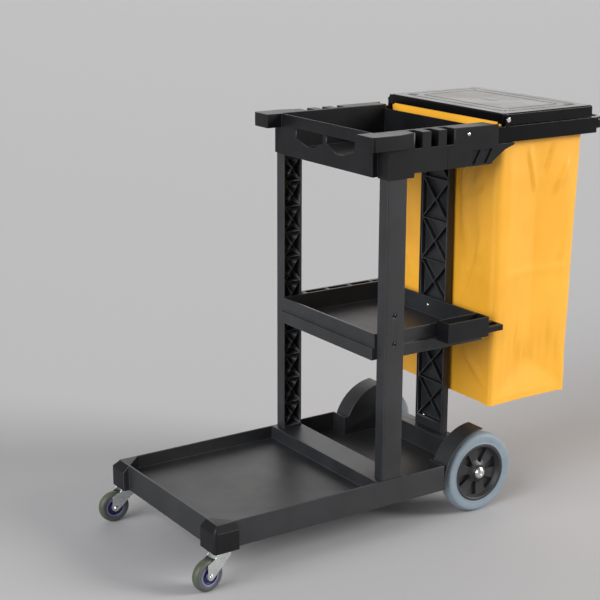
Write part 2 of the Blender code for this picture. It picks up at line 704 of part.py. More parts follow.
def make_bag_frame(parent, black):
    """A ring that the bag hangs from, with ears in front for the lid's hinge pins."""
    half, bar = FRAME_HALF, FRAME_BAR
    outline = rounded((FRONT_BAR_STATION, -half), (FRAME_END, half), 0.003, 2)
    ring = shape_object("bag_frame", black, parent, [(prism_z, outline, FRAME_BOTTOM, FRAME_TOP)])
    horn_end = 0.80
    for side, word in SIDES:
        horn = (block, (ARM_END + GAP, side * (half - bar), FRAME_BOTTOM), (horn_end, side * half, FRAME_TOP))
        ear_outline = arc((HINGE_STATION, HINGE_Z), EAR_RADIUS, 180, 0, 8)
        ear_outline = [(ear_outline[0][0], FRAME_BOTTOM + PAST)] + ear_outline
        ear_outline.append((ear_outline[-1][0], FRAME_BOTTOM + PAST))
        ear = (prism_y, ear_outline, side * (LID_HALF + 0.0008), side * half)
        fuse(ring, helper(f"horn_{word}", parent, [horn]), helper(f"ear_{word}", parent, [ear]))
    inside = (FRONT_BAR_STATION + FRONT_BAR, bar - half, FRAME_BOTTOM - PAST)
    opening = (block, inside, (FRAME_END - bar, half - bar, FRAME_TOP + PAST))
    carve(ring, helper("frame_opening", parent, [opening]))
    carve(ring, helper("hinge_bores", parent, [hinge_bore(HINGE_STATION, HINGE_Z)]))


def hinge_bore(x, z):
    return rod, (x, 0, z), PIN_RADIUS + GAP, -HALF_WIDTH, HALF_WIDTH, "Y", 16


def handle_path():
    """The plan of the push handle's centre line, from the left end round to the right end."""
    side_y = FRAME_HALF - HANDLE_HALF_DEPTH
    end = HANDLE_END - HANDLE_HALF_DEPTH
    corner = arc((end - HANDLE_BEND, side_y - HANDLE_BEND), HANDLE_BEND, 90, 0, 6)
    right = [(FRAME_END + GAP, side_y)] + corner
    return right + [(x, -y) for x, y in reversed(right)]


def make_handle(parent, black):
    bm = bmesh.new()
    path = [Vector(point) for point in handle_path()]
    depth = HANDLE_HALF_DEPTH
    section = rounded((-depth, HANDLE_Z[0]), (depth, HANDLE_Z[1]), 0.008, 3)
    rings = []
    for i, point in enumerate(path):
        ahead = path[min(i + 1, len(path) - 1)]
        behind = path[max(i - 1, 0)]
        tangent = (ahead - behind).normalized()
        if i in (0, len(path) - 1):
            tangent = Vector((1 if i == 0 else -1, 0))
        across = Vector((-tangent.y, tangent.x))
        rings.append([(point.x + across.x * a, point.y + across.y * a, z) for a, z in section])
    loft(bm, rings)
    return add_object("push_handle", bm, black, parent)


def bag_ring(x0, x1, half, z):
    return [(x0, -half, z), (x1, -half, z), (x1, half, z), (x0, half, z)]


def bag_rings(inset, bottom, top):
    """The bag's walls, moved in by an inset, from the bottom to a top edge."""
    front, half = BAG_FRONT + inset, FRAME_HALF - FRAME_BAR - 0.001 - inset
    rings = [bag_ring(front, BAG_REAR - inset, half - 0.004, bottom)]
    rings.append(bag_ring(front, BAG_REAR - inset, half, FRAME_BOTTOM - 0.02))
    mouth_rear = FRAME_END - FRAME_BAR - 0.001 - inset
    return rings + [bag_ring(front, mouth_rear, half, z) for z in (FRAME_BOTTOM, top)]


def hem_blocks(rim, hem_top):
    """The cloth that is folded over the rails. It stops short of the swing of the lid's front corners."""
    half, back = FRAME_HALF - FRAME_BAR - 0.001, FRAME_END - FRAME_BAR
    inside = FRONT_BAR_STATION + FRONT_BAR + GAP
    front = (block, (BAG_FRONT, -HEM_HALF, rim), (inside + BAG_WALL, HEM_HALF, hem_top))
    reach = HEM_REACH
    rear = (block, (back - 0.003, -half - reach, rim), (back + reach, half + reach, hem_top))
    tuck = (block, (inside, -HEM_HALF, 0.935), (inside + BAG_WALL, HEM_HALF, hem_top))
    blocks = [front, rear, tuck]
    for side, _ in SIDES:
        blocks.append((block, (0.81, side * (half - 0.001), rim), (back, side * (half + reach), hem_top)))
    return blocks


def make_bag(parent, yellow):
    """The bag as a plain open-topped shell. It hangs before the front bar and inside the other rails."""
    rim = FRAME_TOP + GAP
    hem_top = rim + HEM_THICKNESS
    above = hem_top + PAST
    bm = bmesh.new()
    loft(bm, bag_rings(0.0, BAG_BOTTOM, hem_top))
    bag = add_object("bag", bm, yellow, parent)
    bm = bmesh.new()
    loft(bm, bag_rings(BAG_WALL, BAG_BOTTOM + BAG_WALL, above))
    carve(bag, add_object("bag_space", bm, None, parent))
    corners = []
    for side, _ in SIDES:
        low = (BAG_FRONT - PAST, side * HEM_HALF, rim - GAP / 2)
        corners.append((block, low, (0.8095, side * HALF_WIDTH, above)))
    carve(bag, helper("lid_corner_clearance", parent, corners))
    fuse(bag, *[helper(f"hem_{i}", parent, [shape]) for i, shape in enumerate(hem_blocks(rim, hem_top))])
    low = (FRONT_BAR_STATION - GAP, -HALF_WIDTH, FRAME_BOTTOM - GAP)
    high = (FRONT_BAR_STATION + FRONT_BAR + GAP, HALF_WIDTH, rim)
    carve(bag, helper("bag_notch", parent, [(block, low, high)]))


def lid_groove(pivot, inset, x0, x1, z1):
    """A cutter for a narrow groove that runs round the lid's top, at an inset from its edges."""
    width, half = 0.003, LID_HALF - inset
    outer = rounded((x0 + inset, -half), (x1 - inset, half), 0.012, 3)
    groove = helper(f"groove_{inset:.2f}", pivot, [(prism_z, outer, z1 - 0.0012, z1 + PAST)])
    half -= width
    inner = rounded((x0 + inset + width, -half), (x1 - inset - width, half), 0.009, 3)
    carve(groove, helper(f"island_{inset:.2f}", pivot, [(prism_z, inner, z1 - PAST, z1 + 2 * PAST)]))
    return groove


def make_lid(parent, black):
    """A shallow lid with a skirt, grooves round its top and hinge bosses in its front corners."""
    pivot = empty("lid_pivot", parent, (HINGE_STATION, 0, HINGE_Z))
    x0, x1 = LID_FRONT - HINGE_STATION, LID_END - HINGE_STATION
    z0, z1 = LID_BOTTOM - HINGE_Z, LID_TOP - HINGE_Z
    half, w = LID_HALF, LID_WALL
    levels = ((z0, 0.0), (z1 - 0.003, 0.0005), (z1, 0.0035))
    bm = bmesh.new()
    loft(bm, [
        [(x, y, z) for x, y in rounded((x0 + s, -half + s), (x1 - s, half - s), 0.010, 3)] for z, s in levels
    ])
    lid = add_object("lid", bm, black, pivot)
    inside = (block, (x0 + w, -half + w, z0 - PAST), (x1 - w, half - w, z1 - 0.005))
    carve(lid, helper("lid_inside", pivot, [inside]))
    full, edge_z = half - LID_CORNER, LID_FRONT_EDGE - HINGE_Z
    short = (block, (x0 - PAST, -full, z0 - PAST), (x0 + w + 0.001, full, edge_z))
    corners = (block, (x0 - PAST, -HALF_WIDTH, z0 - PAST), (0.006, HALF_WIDTH, LID_CORNER_EDGE - HINGE_Z))
    carve(lid, helper("lid_front_edge", pivot, [short]))
    carve(lid, helper("lid_corner_edges", pivot, [corners]))
    carve(lid, *[lid_groove(pivot, inset, x0, x1, z1) for inset in LID_GROOVES])
    for side, word in SIDES:
        low, high = (x0 + 0.0005, side * (half - 0.014), -0.006), (0.007, side * (half - 0.001), z1 - 0.001)
        fuse(lid, helper(f"boss_{word}", pivot, [(block, low, high)]))
    carve(lid, helper("lid_bores", pivot, [hinge_bore(0, 0)]))


def make_hinge_pin(parent, steel, side, word):
    bm = bmesh.new()
    tip, head = side * 0.206, side * (FRAME_HALF + GAP)
    profile = ((0.0, tip), (PIN_RADIUS, tip), (PIN_RADIUS, head), (0.006, head))
    profile += ((0.006, head + side * 0.0015), (0.0045, head + side * 0.0025), (0.0, head + side * 0.0025))
    turned(bm, profile, 16, "Y")
    add_object(f"lid_hinge_pin_{word}", bm, steel, parent, (HINGE_STATION, 0, HINGE_Z))


# ---------------------------------------------------------------- rolling gear


def make_tyre(name, parent, material, inner, half_width, shoulder, steps):
    """A turned tyre: a flat bore, flat sides and a shoulder of (radius, height) points up to the tread."""
    bm = bmesh.new()
    profile = [(inner, -half_width), (inner, half_width)] + shoulder
    turned(bm, profile + [(r, -h) for r, h in reversed(shoulder)], steps)
    add_object(name, bm, material, parent)


def rear_hub_profile(w):
    """A rim and a boss, joined by a web that is dished on the outer side."""
    ring, bore = TYRE_INNER_RADIUS - GAP, AXLE_RADIUS + GAP
    face, rim, web = w - 0.001, ring - 0.006, ring - 0.009
    outer_web, inner_web = w - 0.009, HUB_BACK
    boss, foot = 0.018, 0.020
    profile = [(ring, -face), (ring, face), (rim, face), (web, outer_web), (foot, outer_web), (boss, face)]
    profile += [(bore, face), (bore, -face), (boss, -face), (foot, inner_web), (web, inner_web), (rim, -face)]
    return profile


def make_rear_wheel(parent, side, word, colours):
    """A tyre, a hub with deep pockets between its spokes, and a cap."""
    middle = side * (HALF_WIDTH - WHEEL_INSET - WHEEL_WIDTH / 2)
    pivot = empty(f"rear_wheel_pivot_{word}", parent, (WHEEL_STATION, middle, WHEEL_RADIUS))
    w, r = WHEEL_WIDTH / 2, WHEEL_RADIUS
    shoulder = [(r - 0.011, w - 0.001), (r - 0.004, w - 0.0045), (r, w - 0.010)]
    make_tyre(f"rear_tyre_{word}", pivot, colours["tyre"], TYRE_INNER_RADIUS, w, shoulder, 56)
    bm = bmesh.new()
    turned(bm, [(radius, side * height) for radius, height in rear_hub_profile(w)], 56)
    hub = add_object(f"rear_hub_{word}", bm, colours["black"], pivot)
    bm = bmesh.new()
    for i in range(SPOKES):
        angle = 360 * (i + 0.25) / SPOKES
        outline = arc((0, 0), TYRE_INNER_RADIUS - GAP - 0.011, angle - 13, angle + 13, 4)
        outline += arc((0, 0), 0.026, angle + 8, angle - 8, 2)
        prism_y(bm, outline, side * (HUB_BACK + POCKET_FLOOR), side * WHEEL_WIDTH)
    carve(hub, add_object(f"hub_pockets_{word}", bm, None, pivot))
    bm = bmesh.new()
    start = w - 0.001 + GAP
    cap = [(0.0, 0.0), (0.0145, 0.0), (0.0145, 0.002), (0.012, 0.005), (0.007, 0.0072), (0.0, 0.008)]
    turned(bm, [(radius, side * (start + height)) for radius, height in cap], 28)
    add_object(f"axle_cap_{word}", bm, colours["steel"], pivot)


def make_axle(parent, steel):
    reach = HALF_WIDTH - WHEEL_INSET - 0.002
    shapes = [(rod, (WHEEL_STATION, 0, WHEEL_RADIUS), AXLE_RADIUS, -reach, reach)]
    return shape_object("rear_axle", steel, parent, shapes)


def leg_outline():
    """A fork leg seen from the side: wide under the plate, narrow and round at the axle."""
    half_top, shoulder_z = 0.019, 0.074
    points = [(half_top, FORK_TOP), (half_top, shoulder_z)]
    points += arc((-CASTER_TRAIL, CASTER_RADIUS), 0.009, -35, -180, 6)
    return points + [(-0.0445, 0.0665), (-0.024, 0.0760), (-0.020, FORK_TOP)]


def make_fork(word, pivot, zinc, half):
    """A bent strip with a leg on each side of the wheel, which are this half-width apart inside."""
    outer = half + FORK_SHEET
    fork = shape_object(f"caster_fork_{word}", zinc, pivot, [(prism_y, leg_outline(), -outer, outer)])
    reach = CASTER_TRAIL + CASTER_RADIUS
    gap = (block, (-reach, -half, -PAST), (reach, half, FORK_TOP - FORK_SHEET))
    carve(fork, helper(f"fork_gap_{word}", pivot, [gap]))
    hole = (rod, (-CASTER_TRAIL, 0, CASTER_RADIUS), PIN_RADIUS + GAP, -outer - PAST, outer + PAST, "Y", 16)
    carve(fork, helper(f"fork_hole_{word}", pivot, [hole]))


def make_stem(word, pivot, zinc):
    """The raceway disc under the deck and the stem that goes up into it."""
    bottom, top = FORK_TOP + GAP, SKIRT_BOTTOM - GAP
    radius = RACEWAY_RADIUS
    profile = [(0, bottom), (radius - 0.0025, bottom), (radius, bottom + 0.0013), (radius, top)]
    profile += [(STEM_RADIUS, top), (STEM_RADIUS, STEM_TOP), (0, STEM_TOP)]
    bm = bmesh.new()
    turned(bm, profile, 28, "Z")
    add_object(f"caster_stem_{word}", bm, zinc, pivot)


def make_caster(parent, side, word, colours):
    place, turn = (CASTER_STATION, side * CASTER_Y, 0), math.radians(CASTER_SWIVELS[word])
    pivot = empty(f"caster_pivot_{word}", parent, place, turn)
    w = CASTER_WIDTH / 2
    half = w + 0.0015
    make_stem(word, pivot, colours["zinc"])
    make_fork(word, pivot, colours["zinc"], half)
    wheel_pivot = empty(f"caster_wheel_pivot_{word}", pivot, (-CASTER_TRAIL, 0, CASTER_RADIUS))
    inner, r = 0.0235, CASTER_RADIUS
    shoulder = [(r - 0.004, w), (r - 0.001, w - 0.0025), (r, w - 0.006)]
    make_tyre(f"caster_tyre_{word}", wheel_pivot, colours["caster_tyre"], inner, w, shoulder, 40)
    rim, dish = inner - GAP, w - 0.005
    profile = [(rim, w - 0.0005), (rim - 0.003, w - 0.0005), (rim - 0.006, dish), (0.009, dish)]
    profile += [(0.008, w), (PIN_RADIUS + GAP, w)]
    bm = bmesh.new()
    turned(bm, profile + [(r, -h) for r, h in reversed(profile)], 36)
    add_object(f"caster_hub_{word}", bm, colours["caster_hub"], wheel_pivot)
    end = half + FORK_SHEET + GAP
    head, rivet = end + 0.003, 0.0055
    profile = [(0.0, head), (0.004, head), (rivet, end + 0.001), (rivet, end), (PIN_RADIUS, end)]
    bm = bmesh.new()
    turned(bm, profile + [(r, -h) for r, h in reversed(profile)], 16)
    add_object(f"caster_axle_{word}", bm, colours["steel"], wheel_pivot)


def make_fixings(parent, steel):
    """The screws of the arms, of the shelf's rear wall and of the rear post's foot."""
    for side, word in SIDES:
        head = (ARM_SCREW[0], side * (TRAY_HALF + GAP), ARM_SCREW[1])
        make_screw(f"arm_screw_{word}", steel, parent, head, (0, -side, 0), 0.0030, 0.0055)
    shelf_wall = SHELF_END - SHELF_WALL - GAP
    make_screw("shelf_rear_screw", steel, parent, (shelf_wall, 0, REAR_SCREW_Z), (1, 0, 0), 0.020)
    foot_top = RIM_TOP + GAP + REAR_POST_FOOT + RIB / 2
    foot = (REAR_POST_FRONT + REAR_POST_DEPTH / 2, FOOT_SCREW_Y, foot_top + GAP)
    make_screw("rear_post_foot_screw", steel, parent, foot, (0, 0, -1), 0.0250)


def main():
    clear_scene()
    black = make_material("black_plastic", (0.018, 0.018, 0.020), 0.42)
    yellow = make_material("yellow_fabric", (0.90, 0.52, 0.06), 0.55)
    steel = make_material("bright_steel", (0.70, 0.70, 0.72), 0.25, 1.0)
    colours = {
        "black": black,
        "steel": steel,
        "zinc": make_material("zinc_plate", (0.66, 0.68, 0.70), 0.35, 1.0),
        "tyre": make_material("grey_tyre", (0.42, 0.52, 0.60), 0.60),
        "caster_tyre": make_material("caster_rubber", (0.45, 0.47, 0.42), 0.60),
        "caster_hub": make_material("caster_hub", (0.42, 0.42, 0.62), 0.45),
    }
    cart = empty("cart", None, (-ORIGIN_STATION, 0, 0))
    make_deck(cart, black)
    make_rear_post(cart, black)
    make_mid_shelf(cart, black)
    make_top_tray(cart, black)
    for side, word in SIDES:
        make_front_post(cart, black, side, word)
        make_tool_bracket(cart, black, side, word)
        make_bag_arm(cart, black, side, word)
        make_hinge_pin(cart, steel, side, word)
        make_rear_wheel(cart, side, word, colours)
        make_caster(cart, side, word, colours)
    make_post_screws(cart, steel)
    make_fixings(cart, steel)
    make_axle(cart, steel)
    make_bag_frame(cart, black)
    make_handle(cart, black)
    make_bag(cart, yellow)
    make_lid(cart, black)


main()
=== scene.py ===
"""The looks of the housekeeping cart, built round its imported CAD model. Metres, +Z up; the deck's front is at
-X, the bag and the push handle are at +X, and left is -Y. Moulded parts are the CAD nodes with their edges
rounded. The bag, the wheels and the screws are modelled here in full. The bag's walls are shaped by rules and
then hang for a few steps of cloth simulation."""

import json
import math

import bmesh
import bpy
from mathutils import Matrix, Vector, noise


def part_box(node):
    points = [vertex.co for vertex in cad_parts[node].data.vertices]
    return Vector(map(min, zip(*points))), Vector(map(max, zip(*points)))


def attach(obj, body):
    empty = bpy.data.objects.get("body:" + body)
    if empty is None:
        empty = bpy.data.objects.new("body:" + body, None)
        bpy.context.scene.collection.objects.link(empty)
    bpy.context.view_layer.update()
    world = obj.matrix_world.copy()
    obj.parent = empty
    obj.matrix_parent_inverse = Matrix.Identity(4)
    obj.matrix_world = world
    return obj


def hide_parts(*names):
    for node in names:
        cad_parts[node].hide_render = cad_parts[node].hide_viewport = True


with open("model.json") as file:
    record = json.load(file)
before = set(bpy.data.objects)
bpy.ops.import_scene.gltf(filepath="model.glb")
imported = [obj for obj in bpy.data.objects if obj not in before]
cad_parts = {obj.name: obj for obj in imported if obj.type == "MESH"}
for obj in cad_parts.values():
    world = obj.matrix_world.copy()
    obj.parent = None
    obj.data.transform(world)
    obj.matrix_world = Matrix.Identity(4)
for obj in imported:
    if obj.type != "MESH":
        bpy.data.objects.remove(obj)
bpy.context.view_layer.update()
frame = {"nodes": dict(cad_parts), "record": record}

SIDES = (("left", -1), ("right", 1))

# Camera
CAMERA_PLACE = (-1.9976, -2.7529, 1.4493)
CAMERA_TURN = (1.30264, -0.00343, -0.58842)
CAMERA_LENS = 87.51
CAMERA_SHIFT = (-0.00403, 0.00468)

# Light: a pale room with one broad bright area behind the cart, and two very soft suns
ROOM_COLOUR = (1.0, 0.98, 0.96, 1)
ROOM_STRENGTH = 0.30
WINDOW_DIRECTION = (0.57, 0.78, 0.27)
WINDOW_STRENGTH = 1.5
WINDOW_INNER = 12
WINDOW_OUTER = 40
SUNS = (
    ("key", (0.80, -0.62, 0.42), 3.1, 24, (1.0, 0.98, 0.95)),
    ("fill", (-0.86, -0.16, 0.44), 3.3, 50, (0.97, 0.98, 1.0)),
)
FLOOR_COLOUR = (0.40, 0.40, 0.41, 1)
FLOOR_REACH = 60

# Moulded parts: each one's finish, how far its edges are rounded, and the shortest edge that is
BLACK_MOULDINGS = {
    "base_deck": ("black", 0.0012, 0.004),
    "front_post_left": ("black", 0.0009, 0.060),
    "front_post_right": ("black", 0.0009, 0.060),
    "rear_post": ("black", 0.0009, 0.060),
    "mid_shelf": ("black", 0.0010, 0.006),
    "tool_bracket_left": ("dim", 0.0009, 0.005),
    "tool_bracket_right": ("dim", 0.0009, 0.005),
    "top_tray": ("dim", 0.0010, 0.008),
    "bag_arm_left": ("dim", 0.0008, 0.006),
    "bag_arm_right": ("dim", 0.0008, 0.006),
    "bag_frame": ("gloss", 0.0010, 0.006),
    "push_handle": ("gloss", 0.0008, 0.012),
}

# The deck's front corner pods
POD_LENGTH = 0.0635
POD_WIDTH = 0.062

# Bag: the sheet's rows and columns, how it hangs, and its folds
CLOTH = 0.0008
CLOTH_GAP = 0.0004
FRONT_BAR_BOTTOM = 0.914
FRONT_COLUMNS = 40
SIDE_COLUMNS = 22
REAR_COLUMNS = 36
CORNER_STEPS = 6
WALL_ROWS = 76
HELD_DEPTH = 0.004
FULLNESS = 0.025
HANG_STEPS = 18
HANG_REACH = 0.005
POST_REACH = 0.085
GUSSET_DEPTH = 0.016
GUSSET_APEX = 0.110
GUSSET_BASE = 0.012
FOLD_HEIGHT = 0.324
FRONT_CREASES = (
    ((-0.184, 0.035), (-0.090, 0.128), 0.020, 0.0075),
    ((-0.198, 0.625), (-0.128, 0.520), 0.024, 0.0090),
    ((-0.190, 0.560), (-0.070, 0.490), 0.022, -0.0067),
    ((-0.202, 0.470), (-0.140, 0.360), 0.022, 0.0075),
    ((-0.150, 0.440), (-0.080, 0.240), 0.026, -0.0067),
    ((0.184, 0.035), (0.085, 0.130), 0.020, 0.0075),
    ((0.196, 0.600), (0.120, 0.500), 0.024, 0.0083),
    ((0.185, 0.430), (0.110, 0.270), 0.026, 0.0067),
    ((0.060, 0.560), (0.020, 0.300), 0.030, 0.0053),
)
SIDE_CREASES = (
    ((0.218, 0.590), (0.180, 0.515), 0.016, 0.0076),
    ((0.090, 0.625), (0.124, 0.520), 0.018, 0.0059),
    ((0.160, 0.625), (0.140, 0.560), 0.014, -0.0051),
    ((0.245, 0.440), (0.205, 0.350), 0.020, 0.0051),
)
REAR_CREASES = (
    ((-0.180, 0.035), (-0.080, 0.130), 0.020, 0.0067),
    ((0.180, 0.035), (0.080, 0.130), 0.020, 0.0067),
    ((-0.190, 0.600), (-0.110, 0.500), 0.022, 0.0075),
    ((0.150, 0.570), (0.060, 0.460), 0.022, -0.0067),
)


# ---------------------------------------------------------------- shapes


def add_piece(name, bm, materials, body, replaced=(), sharp=35):
    """Turns the bmesh into a shown piece that moves with a body and stands for the CAD nodes given."""
    mesh = bpy.data.meshes.new(name)
    bm.to_mesh(mesh)
    bm.free()
    mesh.shade_smooth()
    mesh.set_sharp_from_angle(angle=math.radians(sharp))
    for material in materials:
        mesh.materials.append(material)
    piece = bpy.data.objects.new(name, mesh)
    bpy.context.scene.collection.objects.link(piece)
    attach(piece, body)
    if replaced:
        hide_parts(*replaced)
    return piece


def edges_rounded(bm, width, shortest, angle=28):
    """Rounds the edges that are sharper than an angle and no shorter than a length, each with two facets."""
    sharp = math.radians(angle)
    chosen = [
        edge for edge in bm.edges
        if edge.is_manifold and edge.calc_length() >= shortest and edge.calc_face_angle(0) > sharp
    ]
    bmesh.ops.bevel(
        bm, geom=chosen, offset=width, offset_type="OFFSET", segments=2, profile=0.5, affect="EDGES",
        clamp_overlap=False, miter_outer="ARC"
    )
    bmesh.ops.dissolve_degenerate(bm, dist=0.000001, edges=bm.edges)
    bmesh.ops.recalc_face_normals(bm, faces=bm.faces)


def node_bmesh(node):
    """A CAD node's mesh with its triangles merged back into flat faces."""
    bm = bmesh.new()
    bm.from_mesh(frame["nodes"][node].data)
    bmesh.ops.remove_doubles(bm, verts=bm.verts, dist=0.00001)
    bmesh.ops.dissolve_limit(bm, angle_limit=math.radians(0.5), verts=bm.verts, edges=bm.edges)
    bmesh.ops.connect_verts_concave(bm, faces=bm.faces)
    return bm


def body_of_node(node):
    return next(name for name, nodes in frame["record"]["behaviour"]["bodies"].items() if node in nodes)


def moulding(node, material, width, shortest, sharp=50):
    """A CAD node shown with rounded edges, shaded so that its flat faces stay flat."""
    bm = node_bmesh(node)
    edges_rounded(bm, width, shortest)
    piece = add_piece(f"{node}_moulding", bm, [material], body_of_node(node), (node,), sharp)
    flatter = piece.modifiers.new("flat_faces", "WEIGHTED_NORMAL")
    flatter.keep_sharp = True
    return piece


def filleted(points, radius, steps=4):
    """An open outline of (a, b) points with each inner corner rounded, by at most half of its shorter leg."""
    line = [Vector(point) for point in points]
    made = [line[0]]
    for before, corner, after in zip(line, line[1:], line[2:]):
        reach = min(radius, 0.49 * (before - corner).length, 0.49 * (after - corner).length)
        start = corner + (before - corner).normalized() * reach
        end = corner + (after - corner).normalized() * reach
        for i in range(steps + 1):
            t = i / steps
            made.append((1 - t) ** 2 * start + 2 * t * (1 - t) * corner + t * t * end)
    return [tuple(point) for point in made + [line[-1]]]


def turned(bm, profile, steps, closed=True):
    """Revolves (radius, height) points about Z. A closed profile's ends join, and a radius of 0 is a pole."""
    loops = []
    for radius, height in profile:
        if radius < 1e-6:
            loops.append([bm.verts.new((0, 0, height))] * steps)
            continue
        angles = [2 * math.pi * i / steps for i in range(steps)]
        loops.append([bm.verts.new((radius * math.cos(a), radius * math.sin(a), height)) for a in angles])
    pairs = list(zip(loops, loops[1:])) + ([(loops[-1], loops[0])] if closed else [])
    made = []
    for low, high in pairs:
        for i in range(steps):
            j = (i + 1) % steps
            corners = list(dict.fromkeys((low[i], low[j], high[j], high[i])))
            if len(corners) > 2:
                made.append(bm.faces.new(corners))
    return made


def aimed(bm, place, direction):
    """Moves a bmesh that was made along +Z so that it points along a direction from a place."""
    turn = Vector((0, 0, 1)).rotation_difference(Vector(direction)).to_matrix().to_4x4()
    bmesh.ops.transform(bm, matrix=Matrix.Translation(place) @ turn, verts=bm.verts)
    bmesh.ops.recalc_face_normals(bm, faces=bm.faces)
    return bm


def prism(bm, outline, low, high):
    """An outline of (x, y) points between two heights."""
    loops = [[bm.verts.new((x, y, z)) for x, y in outline] for z in (low, high)]
    for i in range(len(outline)):
        j = (i + 1) % len(outline)
        bm.faces.new((loops[0][i], loops[0][j], loops[1][j], loops[1][i]))
    bm.faces.new(list(reversed(loops[0])))
    bm.faces.new(loops[1])


def mesh_of(bm, name="shape"):
    bmesh.ops.recalc_face_normals(bm, faces=bm.faces)
    mesh = bpy.data.meshes.new(name)
    bm.to_mesh(mesh)
    bm.free()
    return mesh


def cut_away(base, others):
    """The bmesh that is left when a Boolean has cut other bmeshes out of the base."""
    collection = bpy.context.scene.collection
    main = bpy.data.objects.new("base", mesh_of(base))
    collection.objects.link(main)
    helpers = []
    for other in others:
        helper = bpy.data.objects.new("cutter", mesh_of(other))
        collection.objects.link(helper)
        modifier = main.modifiers.new("cut", "BOOLEAN")
        modifier.operation = "DIFFERENCE"
        modifier.object = helper
        helpers.append(helper)
    graph = bpy.context.evaluated_depsgraph_get()
    made = bmesh.new()
    made.from_object(main, graph)
    for obj in [main] + helpers:
        bpy.data.objects.remove(obj, do_unlink=True)
    return made


def arc(radius, start, end, steps, centre=(0, 0)):
    """Points on a circle, between two angles in degrees."""
    angles = [math.radians(start + (end - start) * i / steps) for i in range(steps + 1)]
    return [(centre[0] + radius * math.cos(a), centre[1] + radius * math.sin(a)) for a in angles]


def joint_place(name):
    """A joint's place and axis."""
    joint = next(j for j in frame["record"]["behaviour"]["joints"] if j["name"] == name)
    return Vector(joint["pos_m"]), Vector(joint["axis"])


# ---------------------------------------------------------------- materials


def new_material(name, roughness, metallic=0.0, **sockets):
    """A Principled material, with the values that are even all over set on the shader's own sockets."""
    made = bpy.data.materials.new(name)
    made.use_nodes = True
    shader = made.node_tree.nodes["Principled BSDF"]
    shader.inputs["Roughness"].default_value = roughness
    shader.inputs["Metallic"].default_value = metallic
    for socket, value in sockets.items():
        shader.inputs[socket.replace("_", " ").title().replace("Ior", "IOR")].default_value = value
    return made, made.node_tree, shader


def add_node(tree, kind, inputs=None, **settings):
    made = tree.nodes.new(kind)
    for key, value in settings.items():
        setattr(made, key, value)
    for key, value in (inputs or {}).items():
        if isinstance(value, bpy.types.NodeSocket):
            tree.links.new(value, made.inputs[key])
        else:
            made.inputs[key].default_value = value
    return made


def place_of(tree, stretch=(1, 1, 1)):
    """The point on the piece, in metres, stretched along the axes."""
    coordinates = add_node(tree, "ShaderNodeTexCoord")
    inputs = {"Vector": coordinates.outputs["Object"], "Scale": stretch}
    return add_node(tree, "ShaderNodeMapping", inputs).outputs["Vector"]


def noise_of(tree, place, scale, detail=3.0, roughness=0.5):
    inputs = {"Vector": place, "Scale": scale, "Detail": detail, "Roughness": roughness}
    return add_node(tree, "ShaderNodeTexNoise", inputs).outputs["Fac"]


def ramp(tree, value, low, high, to_low, to_high):
    """The value between low and high, mapped in a straight line to to_low and to_high, and held outside."""
    inputs = {"Value": value, "From Min": low, "From Max": high, "To Min": to_low, "To Max": to_high}
    return add_node(tree, "ShaderNodeMapRange", inputs).outputs["Result"]


def mixed(tree, factor, first, second):
    made = add_node(tree, "ShaderNodeMix", data_type="RGBA")
    for index, value in ((0, factor), (6, first), (7, second)):
        socket = made.inputs[index]
        if isinstance(value, bpy.types.NodeSocket):
            tree.links.new(value, socket)
        else:
            socket.default_value = value if index == 0 else (*value, 1)
    return made.outputs[2]


def maths(tree, first, second, operation="MULTIPLY"):
    return add_node(tree, "ShaderNodeMath", {0: first, 1: second}, operation=operation).outputs[0]


def bumped(tree, height, distance, strength=1.0, below=None):
    inputs = {"Height": height, "Distance": distance, "Strength": strength}
    if below:
        inputs["Normal"] = below
    return add_node(tree, "ShaderNodeBump", inputs).outputs["Normal"]


def edge_mask(tree, radius):
    """1 on the edges of a piece, within a radius, and 0 on its faces."""
    soft = add_node(tree, "ShaderNodeBevel", {"Radius": radius}, samples=4).outputs["Normal"]
    true = add_node(tree, "ShaderNodeNewGeometry").outputs["Normal"]
    inputs = {0: soft, 1: true}
    dot = add_node(tree, "ShaderNodeVectorMath", inputs, operation="DOT_PRODUCT").outputs["Value"]
    return ramp(tree, dot, 0.999, 0.93, 0.0, 1.0)


def make_plastic(name, dark, light, roughness, grain, level=0.5, wear_and_highlight=0.5):
    """Moulded polypropylene: a fine grain, slow tone changes, faint scuffs, and paler edges that are partly
    rubbed plastic and partly a painted highlight, for the light the rounded edges catch.
    """
    material, tree, shader = new_material(name, roughness, specular_ior_level=level)
    place = place_of(tree)
    tone = ramp(tree, noise_of(tree, place, 11.0, 5.0, 0.6), 0.3, 0.7, 0.0, 1.0)
    colour = mixed(tree, tone, dark, light)
    scuff = noise_of(tree, place_of(tree, (3.0, 3.0, 40.0)), 9.0, 6.0, 0.7)
    scuff_mask = ramp(tree, scuff, 0.60, 0.74, 0.0, 0.35)
    pale = tuple(channel * 2.2 + 0.006 for channel in light)
    colour = mixed(tree, scuff_mask, colour, pale)
    patchy = ramp(tree, noise_of(tree, place, 60.0), 0.35, 0.65, 0.3, wear_and_highlight)
    # Painted highlight: edges within 1.6 mm turn paler in patches, partly as rubbed plastic and partly standing
    # in for the light the rounded edges catch.
    worn_and_highlit = maths(tree, edge_mask(tree, 0.0016), patchy)
    colour = mixed(tree, worn_and_highlit, colour, tuple(channel * 4 + 0.02 for channel in light))
    tree.links.new(colour, shader.inputs["Base Color"])
    patches = noise_of(tree, place, 5.0, 4.0, 0.6)
    rough = ramp(tree, patches, 0.3, 0.7, roughness - 0.05, roughness + 0.06)
    tree.links.new(rough, shader.inputs["Roughness"])
    fine = bumped(tree, noise_of(tree, place, 1500.0, 2.0), grain, 0.5)
    wavy = bumped(tree, noise_of(tree, place, 14.0, 2.0), 0.0006, 0.25, fine)
    tree.links.new(wavy, shader.inputs["Normal"])
    return material


